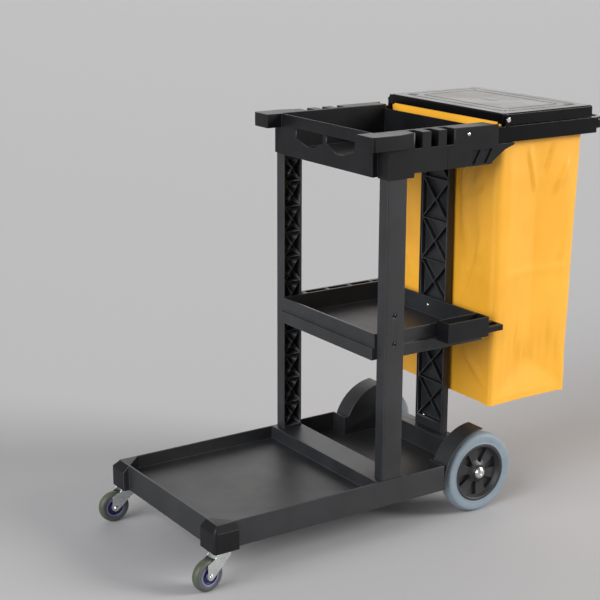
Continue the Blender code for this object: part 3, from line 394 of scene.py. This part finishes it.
def make_fabric():
    """Coated polyester: a plain weave, slow tone changes and a soft sheen."""
    material, tree, shader = new_material("bag_fabric", 0.50, sheen_weight=0.10, sheen_roughness=0.4)
    coordinates = add_node(tree, "ShaderNodeTexCoord").outputs["Object"]
    parts = add_node(tree, "ShaderNodeSeparateXYZ", {0: coordinates})
    across = maths(tree, parts.outputs["X"], parts.outputs["Y"], "ADD")
    pitch = 2 * math.pi / 0.0011
    warp = maths(tree, maths(tree, across, pitch), 0.0, "SINE")
    weft = maths(tree, maths(tree, parts.outputs["Z"], pitch), 0.0, "SINE")
    weave = maths(tree, warp, weft)
    place = place_of(tree)
    tone = ramp(tree, noise_of(tree, place, 7.0, 5.0, 0.6), 0.3, 0.7, 0.0, 1.0)
    colour = mixed(tree, tone, (0.90, 0.415, 0.024), (0.95, 0.47, 0.032))
    thread = ramp(tree, weave, -1.0, 1.0, 0.0, 0.12)
    colour = mixed(tree, thread, colour, (0.70, 0.30, 0.012))
    tree.links.new(colour, shader.inputs["Base Color"])
    rough = ramp(tree, noise_of(tree, place, 16.0, 3.0), 0.3, 0.7, 0.40, 0.54)
    tree.links.new(rough, shader.inputs["Roughness"])
    creases = bumped(tree, noise_of(tree, place_of(tree, (1.0, 1.0, 0.45)), 55.0, 4.0, 0.55), 0.0012, 0.35)
    tree.links.new(bumped(tree, weave, 0.00012, 0.35, creases), shader.inputs["Normal"])
    return material


def make_rubber(name, dark, light, roughness):
    """Tyre rubber: speckled, a little dusty, with a fine matt surface."""
    material, tree, shader = new_material(name, roughness, specular_ior_level=0.4)
    place = place_of(tree)
    tone = ramp(tree, noise_of(tree, place, 22.0, 6.0, 0.65), 0.3, 0.7, 0.0, 1.0)
    speck = ramp(tree, noise_of(tree, place, 420.0, 2.0), 0.62, 0.72, 0.0, 0.35)
    colour = mixed(tree, tone, dark, light)
    colour = mixed(tree, speck, colour, tuple(channel * 0.6 for channel in dark))
    tree.links.new(colour, shader.inputs["Base Color"])
    rough = ramp(tree, tone, 0.0, 1.0, roughness - 0.06, roughness + 0.08)
    tree.links.new(rough, shader.inputs["Roughness"])
    tree.links.new(bumped(tree, noise_of(tree, place, 900.0, 3.0), 0.00015, 0.5), shader.inputs["Normal"])
    return material


def make_metal(name, dark, light, roughness, streaks):
    """Plated steel, with brushed streaks and cloudy patches."""
    material, tree, shader = new_material(name, roughness, 1.0)
    place = place_of(tree)
    cloud = ramp(tree, noise_of(tree, place, 45.0, 5.0, 0.6), 0.3, 0.7, 0.0, 1.0)
    tree.links.new(mixed(tree, cloud, dark, light), shader.inputs["Base Color"])
    streak = noise_of(tree, place_of(tree, streaks), 90.0, 3.0)
    rough = ramp(tree, streak, 0.3, 0.7, max(roughness - 0.08, 0.05), roughness + 0.12)
    tree.links.new(rough, shader.inputs["Roughness"])
    tree.links.new(bumped(tree, streak, 0.00008, 0.3), shader.inputs["Normal"])
    return material


def make_materials():
    return {
        "black": make_plastic("black_plastic", (0.0115, 0.012, 0.0135), (0.021, 0.022, 0.025), 0.44, 0.00010),
        "gloss": make_plastic("gloss_plastic", (0.0020, 0.0021, 0.0025), (0.0038, 0.0040, 0.0045), 0.25,
                              0.00004, 0.14, 0.10),
        "dim": make_plastic("dim_plastic", (0.0045, 0.0047, 0.0054), (0.0085, 0.0089, 0.0100), 0.42,
                            0.00010, 0.22, 0.3),
        "fabric": make_fabric(),
        "tyre": make_rubber("grey_tyre", (0.185, 0.232, 0.275), (0.235, 0.288, 0.335), 0.55),
        "caster_tyre": make_rubber("caster_tyre", (0.050, 0.062, 0.038), (0.080, 0.092, 0.062), 0.45),
        "caster_wall": make_rubber("caster_wall", (0.060, 0.064, 0.062), (0.090, 0.094, 0.092), 0.45),
        "lilac": make_plastic("lilac_plastic", (0.105, 0.105, 0.235), (0.145, 0.145, 0.30), 0.32, 0.00004),
        "navy": make_plastic("navy_plastic", (0.006, 0.007, 0.035), (0.010, 0.012, 0.055), 0.30, 0.00004),
        "steel": make_metal("bright_steel", (0.66, 0.66, 0.64), (0.80, 0.80, 0.77), 0.20, (1, 1, 1)),
        "black_steel": make_metal("blackened_steel", (0.030, 0.031, 0.034), (0.055, 0.056, 0.060), 0.35,
                                  (1, 1, 1)),
        "axle": make_metal("axle_steel", (0.50, 0.51, 0.53), (0.60, 0.61, 0.62), 0.30, (6, 0.4, 6)),
        "zinc": make_metal("zinc_plate", (0.60, 0.63, 0.63), (0.74, 0.77, 0.76), 0.28, (1, 1, 4)),
    }


# ---------------------------------------------------------------- moulded parts


def build_mouldings(materials):
    for node, (finish, width, shortest) in BLACK_MOULDINGS.items():
        piece = moulding(node, materials[finish], width, shortest)
        if node == "base_deck":
            # The pods' darker plastic is painted shade.
            paint_shade_on_pods(piece, materials["dim"])


def paint_shade_on_pods(deck, finish):
    """Paints shade on the moulded pods at the deck's two front corners: their faces take the darker dim
    plastic.
    """
    low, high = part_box("base_deck")
    deck.data.materials.append(finish)
    for face in deck.data.polygons:
        if face.center.x < low.x + POD_LENGTH and abs(face.center.y) > high.y - POD_WIDTH:
            face.material_index = 1


def build_lid(material):
    """The lid with a low mark near each corner of its top and an oval plate in the middle."""
    moulding("lid", material, 0.0008, 0.010)
    low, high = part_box("lid")
    centre, top = (low + high) / 2, high.z
    plate_rise, mark_rise = 0.0003, 0.0012
    bm = bmesh.new()
    rim = [(0.0, plate_rise), (0.90, plate_rise), (1.0, 0.0), (0.90, -plate_rise), (0.0, -plate_rise)]
    turned(bm, rim, 40, False)
    size = Matrix.Diagonal((0.013, 0.034, 1, 1))
    bmesh.ops.transform(bm, matrix=Matrix.Translation((centre.x, 0, top)) @ size, verts=bm.verts)
    bmesh.ops.recalc_face_normals(bm, faces=bm.faces)
    add_piece("lid_plate", bm, [material], "lid")
    inset, length, width = 0.045, 0.016, 0.0035
    for x_sign in (-1, 1):
        for word, y_sign in SIDES:
            x = centre.x + x_sign * ((high.x - low.x) / 2 - inset)
            y = y_sign * (high.y - inset)
            outline = arc(width / 2, -90, 90, 6, (length / 2, 0))
            outline += arc(width / 2, 90, 270, 6, (-length / 2, 0))
            bm = bmesh.new()
            prism(bm, outline, 0, mark_rise)
            edges_rounded(bm, 0.0003, 0)
            turn = Matrix.Rotation(math.radians(90 * x_sign * y_sign / 2), 4, "Z")
            move = Matrix.Translation((x, y, top - mark_rise / 2))
            bmesh.ops.transform(bm, matrix=move @ turn, verts=bm.verts)
            end = "front" if x_sign < 0 else "rear"
            add_piece(f"lid_mark_{word}_{end}", bm, [material], "lid")


# ---------------------------------------------------------------- wheels


def build_tyre(name, node, body, materials, profile, place, direction, steps, tread_from=None):
    """A turned tyre. The faces further out than tread_from take the second material."""
    bm = bmesh.new()
    turned(bm, profile, steps)
    if tread_from is not None:
        for face in bm.faces:
            centre = face.calc_center_median()
            face.material_index = int(math.hypot(centre.x, centre.y) > tread_from)
    aimed(bm, place, direction)
    return add_piece(name, bm, materials, body, (node,), 50)


def mirrored(profile):
    """A half profile of (radius, height) points, outer side first, with its lower half added."""
    return profile + [(radius, -height) for radius, height in reversed(profile)]


def rear_tyre_profile(radius, inner, width):
    """A solid tyre: a flat bore with a small lip, dished sides and a softly crowned tread."""
    half = width / 2
    lip, shoulder = inner + 0.0025, radius - 0.007
    points = [(inner, half - 0.0025), (inner + 0.0008, half), (lip, half), (lip + 0.001, half - 0.0008)]
    points += [(shoulder - 0.008, half - 0.0002), (shoulder, half - 0.001), (radius - 0.0022, half - 0.006)]
    points += [(radius - 0.0006, half - 0.011), (radius, 0.003)]
    return mirrored(filleted(points, 0.0025, 3))


def build_rear_wheel(word, side, materials):
    body = f"rear_wheel_{word}"
    place, _ = joint_place(f"rear_wheel_{word}_spin")
    out = Vector((0, side, 0))
    low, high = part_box(f"rear_tyre_{word}")
    radius, width = (high.z - low.z) / 2, high.y - low.y
    hub_low, hub_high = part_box(f"rear_hub_{word}")
    ring = (hub_high.z - hub_low.z) / 2
    profile = rear_tyre_profile(radius, ring + 0.0003, width)
    build_tyre(f"rear_tyre_{word}_rubber", f"rear_tyre_{word}", body, [materials["tyre"]],
               profile, place, out, 128)
    build_rear_hub(word, body, materials["black"], ring, width, place, out)
    build_cap(word, body, materials["steel"], place, side)


def build_rear_hub(word, body, black, ring, width, place, out):
    """A rim and a boss, a dished web between them, and six deep pockets that leave wedge-shaped spokes. The
    pockets stop short of the back, so black plastic closes them: a dark sheet that stands in for the shade seen
    through the spokes.
    """
    face, bore = width / 2 - 0.001, 0.0084
    rim, web, back = ring - 0.006, face - 0.011, -0.004
    points = [(bore, face), (0.0165, face), (0.0185, face - 0.004), (0.030, web), (rim - 0.006, web - 0.001)]
    points += [(rim - 0.001, face - 0.001), (rim + 0.001, face), (ring - 0.0008, face), (ring, face - 0.0008)]
    points += [(ring, -face), (rim, -face), (rim - 0.002, back), (0.020, back), (0.018, -face), (bore, -face)]
    bm = bmesh.new()
    turned(bm, [points[0]] + filleted(points, 0.0012, 2)[1:], 96)
    cutters = []
    for i in range(6):
        middle_angle = 60 * (i + 0.25)
        outer = arc(rim - 0.0060, middle_angle - 15.5, middle_angle + 15.5, 6)
        outline = filleted(outer + arc(0.025, middle_angle + 11, middle_angle - 11, 3), 0.0015, 2)
        cutter = bmesh.new()
        # The pockets end 1.8 mm above the back face; the plastic left there is a dark sheet standing in for
        # shade seen through the spokes.
        prism(cutter, outline, back + 0.0018, face + 0.01)
        cutters.append(cutter)
    bm = cut_away(bm, cutters)
    bmesh.ops.remove_doubles(bm, verts=bm.verts, dist=0.00001)
    bmesh.ops.dissolve_limit(bm, angle_limit=math.radians(0.3), verts=bm.verts, edges=bm.edges)
    aimed(bm, place, out)
    add_piece(f"rear_hub_{word}_disc", bm, [black], body, (f"rear_hub_{word}",), 28)


def build_cap(word, body, steel, place, side):
    """The push-on cap over the axle's end: a dome with a flat rim and a centre dimple."""
    low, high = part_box(f"axle_cap_{word}")
    start = low.y if side > 0 else high.y
    radius, rise = (high.z - low.z) / 2, high.y - low.y
    points = [(0.0, rise * 0.80), (0.0022, rise * 0.84), (0.0034, rise * 0.98), (0.0070, rise * 0.92)]
    points += [(0.0115, rise * 0.66), (0.0128, rise * 0.42), (0.0130, rise * 0.28)]
    points += [(radius - 0.0006, rise * 0.25), (radius, rise * 0.12), (radius, 0.0), (0.0, 0.0)]
    bm = bmesh.new()
    turned(bm, filleted(points, 0.0014, 3), 48, False)
    aimed(bm, (place.x, start, place.z), (0, side, 0))
    add_piece(f"axle_cap_{word}_dome", bm, [steel], body, (f"axle_cap_{word}",), 50)


def build_caster(word, materials):
    """The wheel's tyre and hub are turned here; the fork and the stem are the CAD's, with rounded edges."""
    body = f"caster_wheel_{word}"
    place, axis = joint_place(f"caster_{word}_wheel_spin")
    low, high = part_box(f"caster_tyre_{word}")
    radius, half = (high.z - low.z) / 2, 0.0115
    inner = 0.0235
    points = [(inner, half - 0.001), (inner + 0.001, half), (inner + 0.0075, half)]
    points += [(radius - 0.0045, half - 0.001), (radius - 0.0014, half - 0.0035), (radius, half - 0.0085)]
    points.append((radius, 0.002))
    build_tyre(f"caster_tyre_{word}_rubber", f"caster_tyre_{word}", body,
               [materials["caster_wall"], materials["caster_tyre"]],
               mirrored(filleted(points, 0.0025, 3)), place, axis, 96, radius - 0.0035)
    rim = inner - 0.0003
    dish = half - 0.0045
    points = [(rim, half - 0.0006), (rim - 0.0034, half - 0.0004), (rim - 0.0052, dish), (0.0095, dish)]
    points += [(0.0082, half - 0.0002), (0.0034, half - 0.0002)]
    bm = bmesh.new()
    turned(bm, mirrored(filleted(points, 0.0010, 3)), 72)
    for made in bm.faces:
        centre = made.calc_center_median()
        out = math.hypot(centre.x, centre.y)
        made.material_index = int(0.0090 < out < rim - 0.0040 and abs(centre.z) < half - 0.0015)
    aimed(bm, place, axis)
    add_piece(f"caster_hub_{word}_disc", bm, [materials["lilac"], materials["navy"]], body,
              (f"caster_hub_{word}",), 40)
    moulding(f"caster_fork_{word}", materials["zinc"], 0.0007, 0.002, 40)
    moulding(f"caster_stem_{word}", materials["zinc"], 0.0004, 0.001, 40)
    moulding(f"caster_axle_{word}", materials["steel"], 0.0003, 0.0005, 40)


# ---------------------------------------------------------------- fixings


def build_screw(node, direction, steel):
    """A pan-head screw with a cross recess, in place of the CAD's plain one. Its head faces a direction."""
    low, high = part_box(node)
    out = Vector(direction)
    centre = (low + high) / 2
    extent = abs((high - low).dot(out))
    tip = centre - out * extent / 2
    rise, radius, shank = 0.0032, 0.0045, 0.0020
    seat = extent - rise
    points = [(0.0, seat + rise), (radius * 0.45, seat + rise), (radius * 0.85, seat + rise * 0.72)]
    points += [(radius, seat + rise * 0.30), (radius, seat), (shank, seat), (shank, 0.0012), (0.0, 0.0)]
    bm = bmesh.new()
    turned(bm, filleted(points, 0.0006, 3), 40, False)
    cutters = []
    for turn in (0, 90):
        blade = bmesh.new()
        half_length, half_width = 0.0024, 0.00055
        outline = ((half_length, half_width), (-half_length, half_width))
        outline += ((-half_length, -half_width), (half_length, -half_width))
        prism(blade, outline, seat + rise - 0.0013, seat + rise + 0.001)
        turn_matrix = Matrix.Rotation(math.radians(turn + 20), 4, "Z")
        bmesh.ops.transform(blade, matrix=turn_matrix, verts=blade.verts)
        cutters.append(blade)
    bm = cut_away(bm, cutters)
    aimed(bm, tip, out)
    add_piece(f"{node}_cross_head", bm, [steel], body_of_node(node), (node,), 30)


def build_fixings(materials):
    for word, side in SIDES:
        for level in ("lower", "upper"):
            build_screw(f"post_screw_{word}_{level}", (0, side, 0), materials["black_steel"])
        build_screw(f"arm_screw_{word}", (0, side, 0), materials["steel"])
        moulding(f"lid_hinge_pin_{word}", materials["steel"], 0.0003, 0.0005, 40)
    build_screw("shelf_rear_screw", (-1, 0, 0), materials["steel"])
    build_screw("rear_post_foot_screw", (0, 0, 1), materials["steel"])
    moulding("rear_axle", materials["axle"], 0.0008, 0.0005, 40)


# ---------------------------------------------------------------- bag


def smooth(low, high, value):
    t = min(max((value - low) / (high - low), 0.0), 1.0)
    return t * t * (3 - 2 * t)


def crease_offset(creases, a, height):
    """How far the folds push the cloth out, at a place along a face and a height over the bag's base."""
    total = 0.0
    point = Vector((a, height))
    for start, end, width, depth in creases:
        start, along = Vector(start), Vector(end) - Vector(start)
        share = (point - start).dot(along) / along.length_squared
        across = (along.x * (point - start).y - along.y * (point - start).x) / along.length / width
        if not -0.15 < share < 1.15 or abs(across) > 1:
            continue
        slope = (1 - across) ** 1.5 if across > 0 else max(1 + across / 0.35, 0.0) ** 1.2
        total += depth * slope * smooth(-0.15, 0.2, share) * (1 - smooth(0.75, 1.15, share))
    return total


def gusset_offset(share, height, drop):
    """The pleat down the middle of a side. Below its apex it opens into a flat triangle on the base."""
    across = 1 - abs(2 * share - 1)
    opened = (height - GUSSET_BASE) / (GUSSET_APEX - GUSSET_BASE)
    depth = GUSSET_DEPTH * (1 - smooth(drop - 0.20, drop - 0.015, height))
    depth *= 0.85 + 0.15 * smooth(0.1, 0.4, height)
    return -depth * max(0.0, min(across, opened))


def face_offset(face, share, along, place, height, drop):
    """How far a point on the bag's wall stands out from its flat face."""
    edge = smooth(0.0, 0.12, share) * (1 - smooth(0.88, 1.0, share))
    hung = smooth(0.0, 0.05, drop - height)
    grounded = smooth(0.0, 0.05, height)
    wide = noise.noise(Vector((place.x * 9, place.y * 9, height * 2.1))) * 0.0042
    fine = noise.noise(Vector((place.x * 26, place.y * 26, height * 7 + 5))) * 0.0012
    offset = (wide + fine) * hung * grounded
    fold = max(0.0, 1 - abs(height - FOLD_HEIGHT) / 0.022)
    offset += 0.0016 * fold * fold * edge
    if face in ("left", "right"):
        offset += gusset_offset(share, height, drop)
        offset += crease_offset(SIDE_CREASES, along, height) * edge * hung
        offset += 0.0030 * math.sin(math.pi * share) * smooth(drop - 0.30, drop - 0.10, height) * hung
    elif face == "front":
        offset += crease_offset(FRONT_CREASES, along, height) * edge * hung
        beside_post = smooth(0.064, 0.105, abs(along)) * (1 - smooth(0.150, 0.195, abs(along)))
        above_shelf = smooth(0.34, 0.46, height) * (1 - smooth(0.60, 0.67, height))
        offset += 0.0085 * beside_post * above_shelf
        if abs(along) < 0.075:
            offset = min(offset, 0.0)
    else:
        offset += crease_offset(REAR_CREASES, along, height) * edge * hung
        offset += 0.0060 * math.sin(math.pi * share) * smooth(0.1, 0.4, height) * hung
    return offset


def wall_ring(height, drop, plan, slot_share):
    """The bag's wall at one height over its base, as points with their outward directions."""
    front, rear, half, radius = plan
    near, far = front + radius, rear - radius
    first = [slot_share] if slot_share else []
    start = slot_share or 0.0
    halves = [start + (0.5 - start) * i / SIDE_COLUMNS for i in range(1, SIDE_COLUMNS)]
    shares = [0.0] + first + halves + [0.5 + 0.5 * i / SIDE_COLUMNS for i in range(SIDE_COLUMNS + 1)]
    across = [i / FRONT_COLUMNS for i in range(FRONT_COLUMNS + 1)]
    behind = [i / REAR_COLUMNS for i in range(REAR_COLUMNS + 1)]
    straight = half - radius
    returned = [1 - share for share in reversed(shares)]
    faces = [
        ("left", shares, Vector((near, -half)), Vector((far, -half)), Vector((0, -1))),
        ("rear", behind, Vector((rear, -straight)), Vector((rear, straight)), Vector((1, 0))),
        ("right", returned, Vector((far, half)), Vector((near, half)), Vector((0, 1))),
        ("front", across, Vector((front, straight)), Vector((front, -straight)), Vector((-1, 0))),
    ]

    def shift(k, step):
        """How far a face's cloth stands out at a step along it."""
        face, _, start, end, out = faces[k % 4]
        flat = start.lerp(end, step)
        along = flat.x - front if face in ("left", "right") else flat.y
        share = 1 - step if face == "right" else step
        return out * face_offset(face, share, along, flat, height, drop)

    points = []
    for k, (face, steps, start, end, out) in enumerate(faces):
        points += [(start.lerp(end, step) + shift(k, step), out) for step in steps]
        next_out = faces[(k + 1) % 4][4]
        for i in range(1, CORNER_STEPS):
            t = i / CORNER_STEPS
            direction = out * math.cos(math.pi / 2 * t) + next_out * math.sin(math.pi / 2 * t)
            moved = shift(k, 1.0) * (1 - t) + shift(k + 1, 0.0) * t
            points.append((end - out * radius + direction * radius + moved, direction))
    return points


def bag_plan(height, drop, rim):
    """The bag's outline at a height: narrower and rounder lower down, and fitted to the frame at the rim."""
    lower = 1 - smooth(drop * 0.4, drop - 0.03, height)
    front = rim["front"] + 0.0006 * lower
    taper = 0.012 * (1 - smooth(drop - 0.045, drop - 0.005, height))
    rear = rim["rear"] - taper - 0.009 * (1 - height / drop)
    half = rim["half"] - 0.0035 * lower
    radius = 0.003 + 0.015 * smooth(0.0, 0.10, drop - height)
    radius -= 0.007 * (1 - smooth(0.0, 0.12, height))
    return front, rear, half, radius


def bag_measures():
    """The bag's place on the frame, for the middle of the cloth. The rim is as high as the hinge ears."""
    bag_low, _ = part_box("bag")
    _, frame_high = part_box("bag_frame")
    rail, front_bar = 0.016, 0.013
    return {
        "base": bag_low.z + CLOTH,
        "front": bag_low.x + CLOTH / 2 + CLOTH_GAP,
        "rear": frame_high.x - rail - 0.0012,
        "half": frame_high.y - rail - 0.0016,
        "bar": (bag_low.x + 0.0035, bag_low.x + 0.0035 + front_bar),
        "rim_top": frame_high.z,
        "bar_bottom": FRONT_BAR_BOTTOM,
    }


def hem_rows(ring, rim):
    """Rows of the hem, turned in and down behind the front bar and outwards elsewhere."""
    top = rim["rim_top"] + CLOTH / 2 + CLOTH_GAP
    crown = top + CLOTH_GAP
    over_bar = rim["bar"][1] - rim["front"] + 0.0010
    rows = [[], [], [], [], [], []]
    for point, out in ring:
        is_front = out.x < -0.9
        corner = smooth(0.190, 0.199, abs(point.y)) if is_front else 0.0
        if is_front:
            reach, inward = over_bar * (1 - corner) + 0.001 * corner, Vector((1, 0))
            down = 0.016 * (1 - corner)
        elif out.x < -0.05 or point.x < rim["bar"][1] + 0.004:
            reach, inward, down = 0.0010, -out, 0.0
        else:
            reach, inward, down = 0.0072, out, 0.0
        wave = 0.0005 * math.sin(point.y * 95) if is_front else 0.0
        steps = ((0.08, top - 0.0003), (0.35, crown), (0.70, crown), (1.0, top - 0.0002 * (down > 0)))
        for row, (share, z) in zip(rows, steps):
            row.append((point + inward * reach * share, z + wave * min(1.0, 3 * share)))
        for row, share in zip(rows[4:], (0.4, 1.0)):
            slip = inward * (reach + 0.0002 * share) if down else inward * (reach + 0.0006 * share)
            row.append((point + slip, top - down * share - 0.0001))
    return rows


def bag_sheet():
    """The bag as one open sheet of cloth: its base, walls and hem."""
    rim = bag_measures()
    drop = rim["rim_top"] - rim["base"]
    slot = rim["bar_bottom"] - rim["base"] - 0.001
    top_plan = bag_plan(drop, drop, rim)
    straight = (top_plan[1] - top_plan[3]) - (top_plan[0] + top_plan[3])
    slot_share = (rim["bar"][1] + 0.0012 - top_plan[0] - top_plan[3]) / straight
    heights = [slot * i / WALL_ROWS for i in range(WALL_ROWS + 1)]
    heights += [slot + (drop - slot) * i / 5 for i in range(1, 6)]
    bm = bmesh.new()
    loops = []
    for height in heights:
        ring = wall_ring(height, drop, bag_plan(height, drop, rim), slot_share)
        loops.append([bm.verts.new((p.x, p.y, rim["base"] + height)) for p, _ in ring])
    hem = hem_rows(ring, rim)
    hem_loops = [[bm.verts.new((p.x, p.y, z)) for p, z in row] for row in hem]
    base = loops[0]
    centre = sum((v.co for v in base), Vector()) / len(base)
    inner_loops = []
    for share in (0.985, 0.93, 0.80, 0.60, 0.38, 0.16):
        loop = []
        for vertex in base:
            flat = centre + (vertex.co - centre) * share
            sag = 0.0022 * (1 - share) + 0.0010 * noise.noise(flat * 14)
            flat.z = rim["base"] - 0.0012 * smooth(1.0, 0.93, share) - sag * smooth(1.0, 0.8, share)
            loop.append(bm.verts.new(flat))
        inner_loops.append(loop)
    ordered = list(reversed(inner_loops)) + loops + hem_loops
    count = len(base)
    for low, high in zip(ordered, ordered[1:]):
        for i in range(count):
            j = (i + 1) % count
            bm.faces.new((low[i], low[j], high[j], high[i]))
    bm.faces.new(list(reversed(ordered[0])))
    cut_slots(bm, rim)
    bmesh.ops.recalc_face_normals(bm, faces=bm.faces)
    return bm


def cut_slots(bm, rim):
    """Opens the slit on each side that the frame's front bar passes through."""
    low, high = rim["bar"][0] - CLOTH_GAP, rim["bar"][1] + 0.0006
    doomed = []
    for face in bm.faces:
        centre = face.calc_center_median()
        within = low < centre.x < high and rim["bar_bottom"] - 0.0012 < centre.z < rim["rim_top"] + 0.0002
        if within and abs(centre.y) > rim["half"] - 0.006:
            doomed.append(face)
    bmesh.ops.delete(bm, geom=doomed, context="FACES")


def let_hang(piece, rim):
    """Lets the cloth, cut a little full, hang from its rim. No point moves far, nor against the rear post."""
    held = [v.index for v in piece.data.vertices if v.co.z > rim["bar_bottom"] - HELD_DEPTH]
    piece.vertex_groups.new(name="held").add(held, 1.0, "REPLACE")
    cloth = piece.modifiers.new("hang", "CLOTH")
    settings = cloth.settings
    settings.quality = 6
    settings.mass = 0.12
    settings.tension_stiffness = settings.compression_stiffness = 12
    settings.shear_stiffness = 4
    settings.bending_model = "ANGULAR"
    settings.bending_stiffness = 0.4
    settings.vertex_group_mass = "held"
    settings.shrink_min = -FULLNESS
    cloth.collision_settings.use_collision = False
    scene = bpy.context.scene
    for step in range(1, HANG_STEPS + 1):
        scene.frame_set(step)
    hung = piece.evaluated_get(bpy.context.evaluated_depsgraph_get())
    moves = [(end.co - start.co) for start, end in zip(piece.data.vertices, hung.data.vertices)]
    piece.modifiers.remove(cloth)
    scene.frame_set(1)
    held = set(held)
    for vertex, move in zip(piece.data.vertices, moves):
        if vertex.index in held:
            continue
        low_wall = smooth(0.0, 0.10, rim["bar_bottom"] - HELD_DEPTH - vertex.co.z)
        move = move * min(1.0, HANG_REACH * low_wall / max(move.length, 1e-9))
        if abs(vertex.co.y) < POST_REACH and vertex.co.x < rim["front"] + 0.02:
            move.x = max(move.x, 0.0)
        vertex.co += move


def build_bag(material):
    piece = add_piece("bag_cloth", bag_sheet(), [material], "cart", ("bag",), 60)
    let_hang(piece, bag_measures())
    thick = piece.modifiers.new("cloth_thickness", "SOLIDIFY")
    thick.thickness = CLOTH
    thick.offset = 0.0
    return piece


# ---------------------------------------------------------------- stage


def build_camera():
    camera = bpy.data.objects.new("camera", bpy.data.cameras.new("camera"))
    bpy.context.scene.collection.objects.link(camera)
    camera.location = CAMERA_PLACE
    camera.rotation_euler = CAMERA_TURN
    camera.data.lens = CAMERA_LENS
    camera.data.shift_x, camera.data.shift_y = CAMERA_SHIFT
    bpy.context.scene.camera = camera


def add_sun(name, direction, strength, angle, colour):
    """A soft sun that shines from a direction."""
    data = bpy.data.lights.new(name, "SUN")
    data.energy = strength
    data.angle = math.radians(angle)
    data.color = colour
    light = bpy.data.objects.new(name, data)
    bpy.context.scene.collection.objects.link(light)
    light.rotation_euler = Vector(direction).to_track_quat("Z", "Y").to_euler()


def build_room():
    """An even pale room, with one soft bright area low behind the cart, as a large window would be."""
    world = bpy.data.worlds.new("studio")
    world.use_nodes = True
    tree = world.node_tree
    background = tree.nodes["Background"]
    background.inputs["Color"].default_value = ROOM_COLOUR
    direction = add_node(tree, "ShaderNodeTexCoord").outputs["Generated"]
    aim = Vector(WINDOW_DIRECTION).normalized()
    inputs = {0: direction, 1: aim}
    towards = add_node(tree, "ShaderNodeVectorMath", inputs, operation="DOT_PRODUCT").outputs["Value"]
    inner, outer = (math.cos(math.radians(angle)) for angle in (WINDOW_INNER, WINDOW_OUTER))
    strength = add_node(tree, "ShaderNodeMapRange", {
        "Value": towards, "From Min": outer, "From Max": inner,
        "To Min": ROOM_STRENGTH, "To Max": WINDOW_STRENGTH,
    }, interpolation_type="SMOOTHSTEP").outputs["Result"]
    tree.links.new(strength, background.inputs["Strength"])
    bpy.context.scene.world = world


def build_stage():
    bm = bmesh.new()
    bmesh.ops.create_grid(bm, x_segments=1, y_segments=1, size=FLOOR_REACH)
    mesh = mesh_of(bm, "floor")
    floor = bpy.data.objects.new("floor", mesh)
    bpy.context.scene.collection.objects.link(floor)
    material, _, shader = new_material("floor", 0.7)
    shader.inputs["Base Color"].default_value = FLOOR_COLOUR
    shader.inputs["Specular IOR Level"].default_value = 0.2
    mesh.materials.append(material)
    build_room()
    for sun in SUNS:
        add_sun(*sun)
    bpy.context.scene.view_settings.view_transform = "Standard"


def main():
    build_camera()
    build_stage()
    materials = make_materials()
    build_mouldings(materials)
    build_lid(materials["gloss"])
    for word, side in SIDES:
        build_rear_wheel(word, side, materials)
        build_caster(word, materials)
    build_fixings(materials)
    build_bag(materials["fabric"])


main()
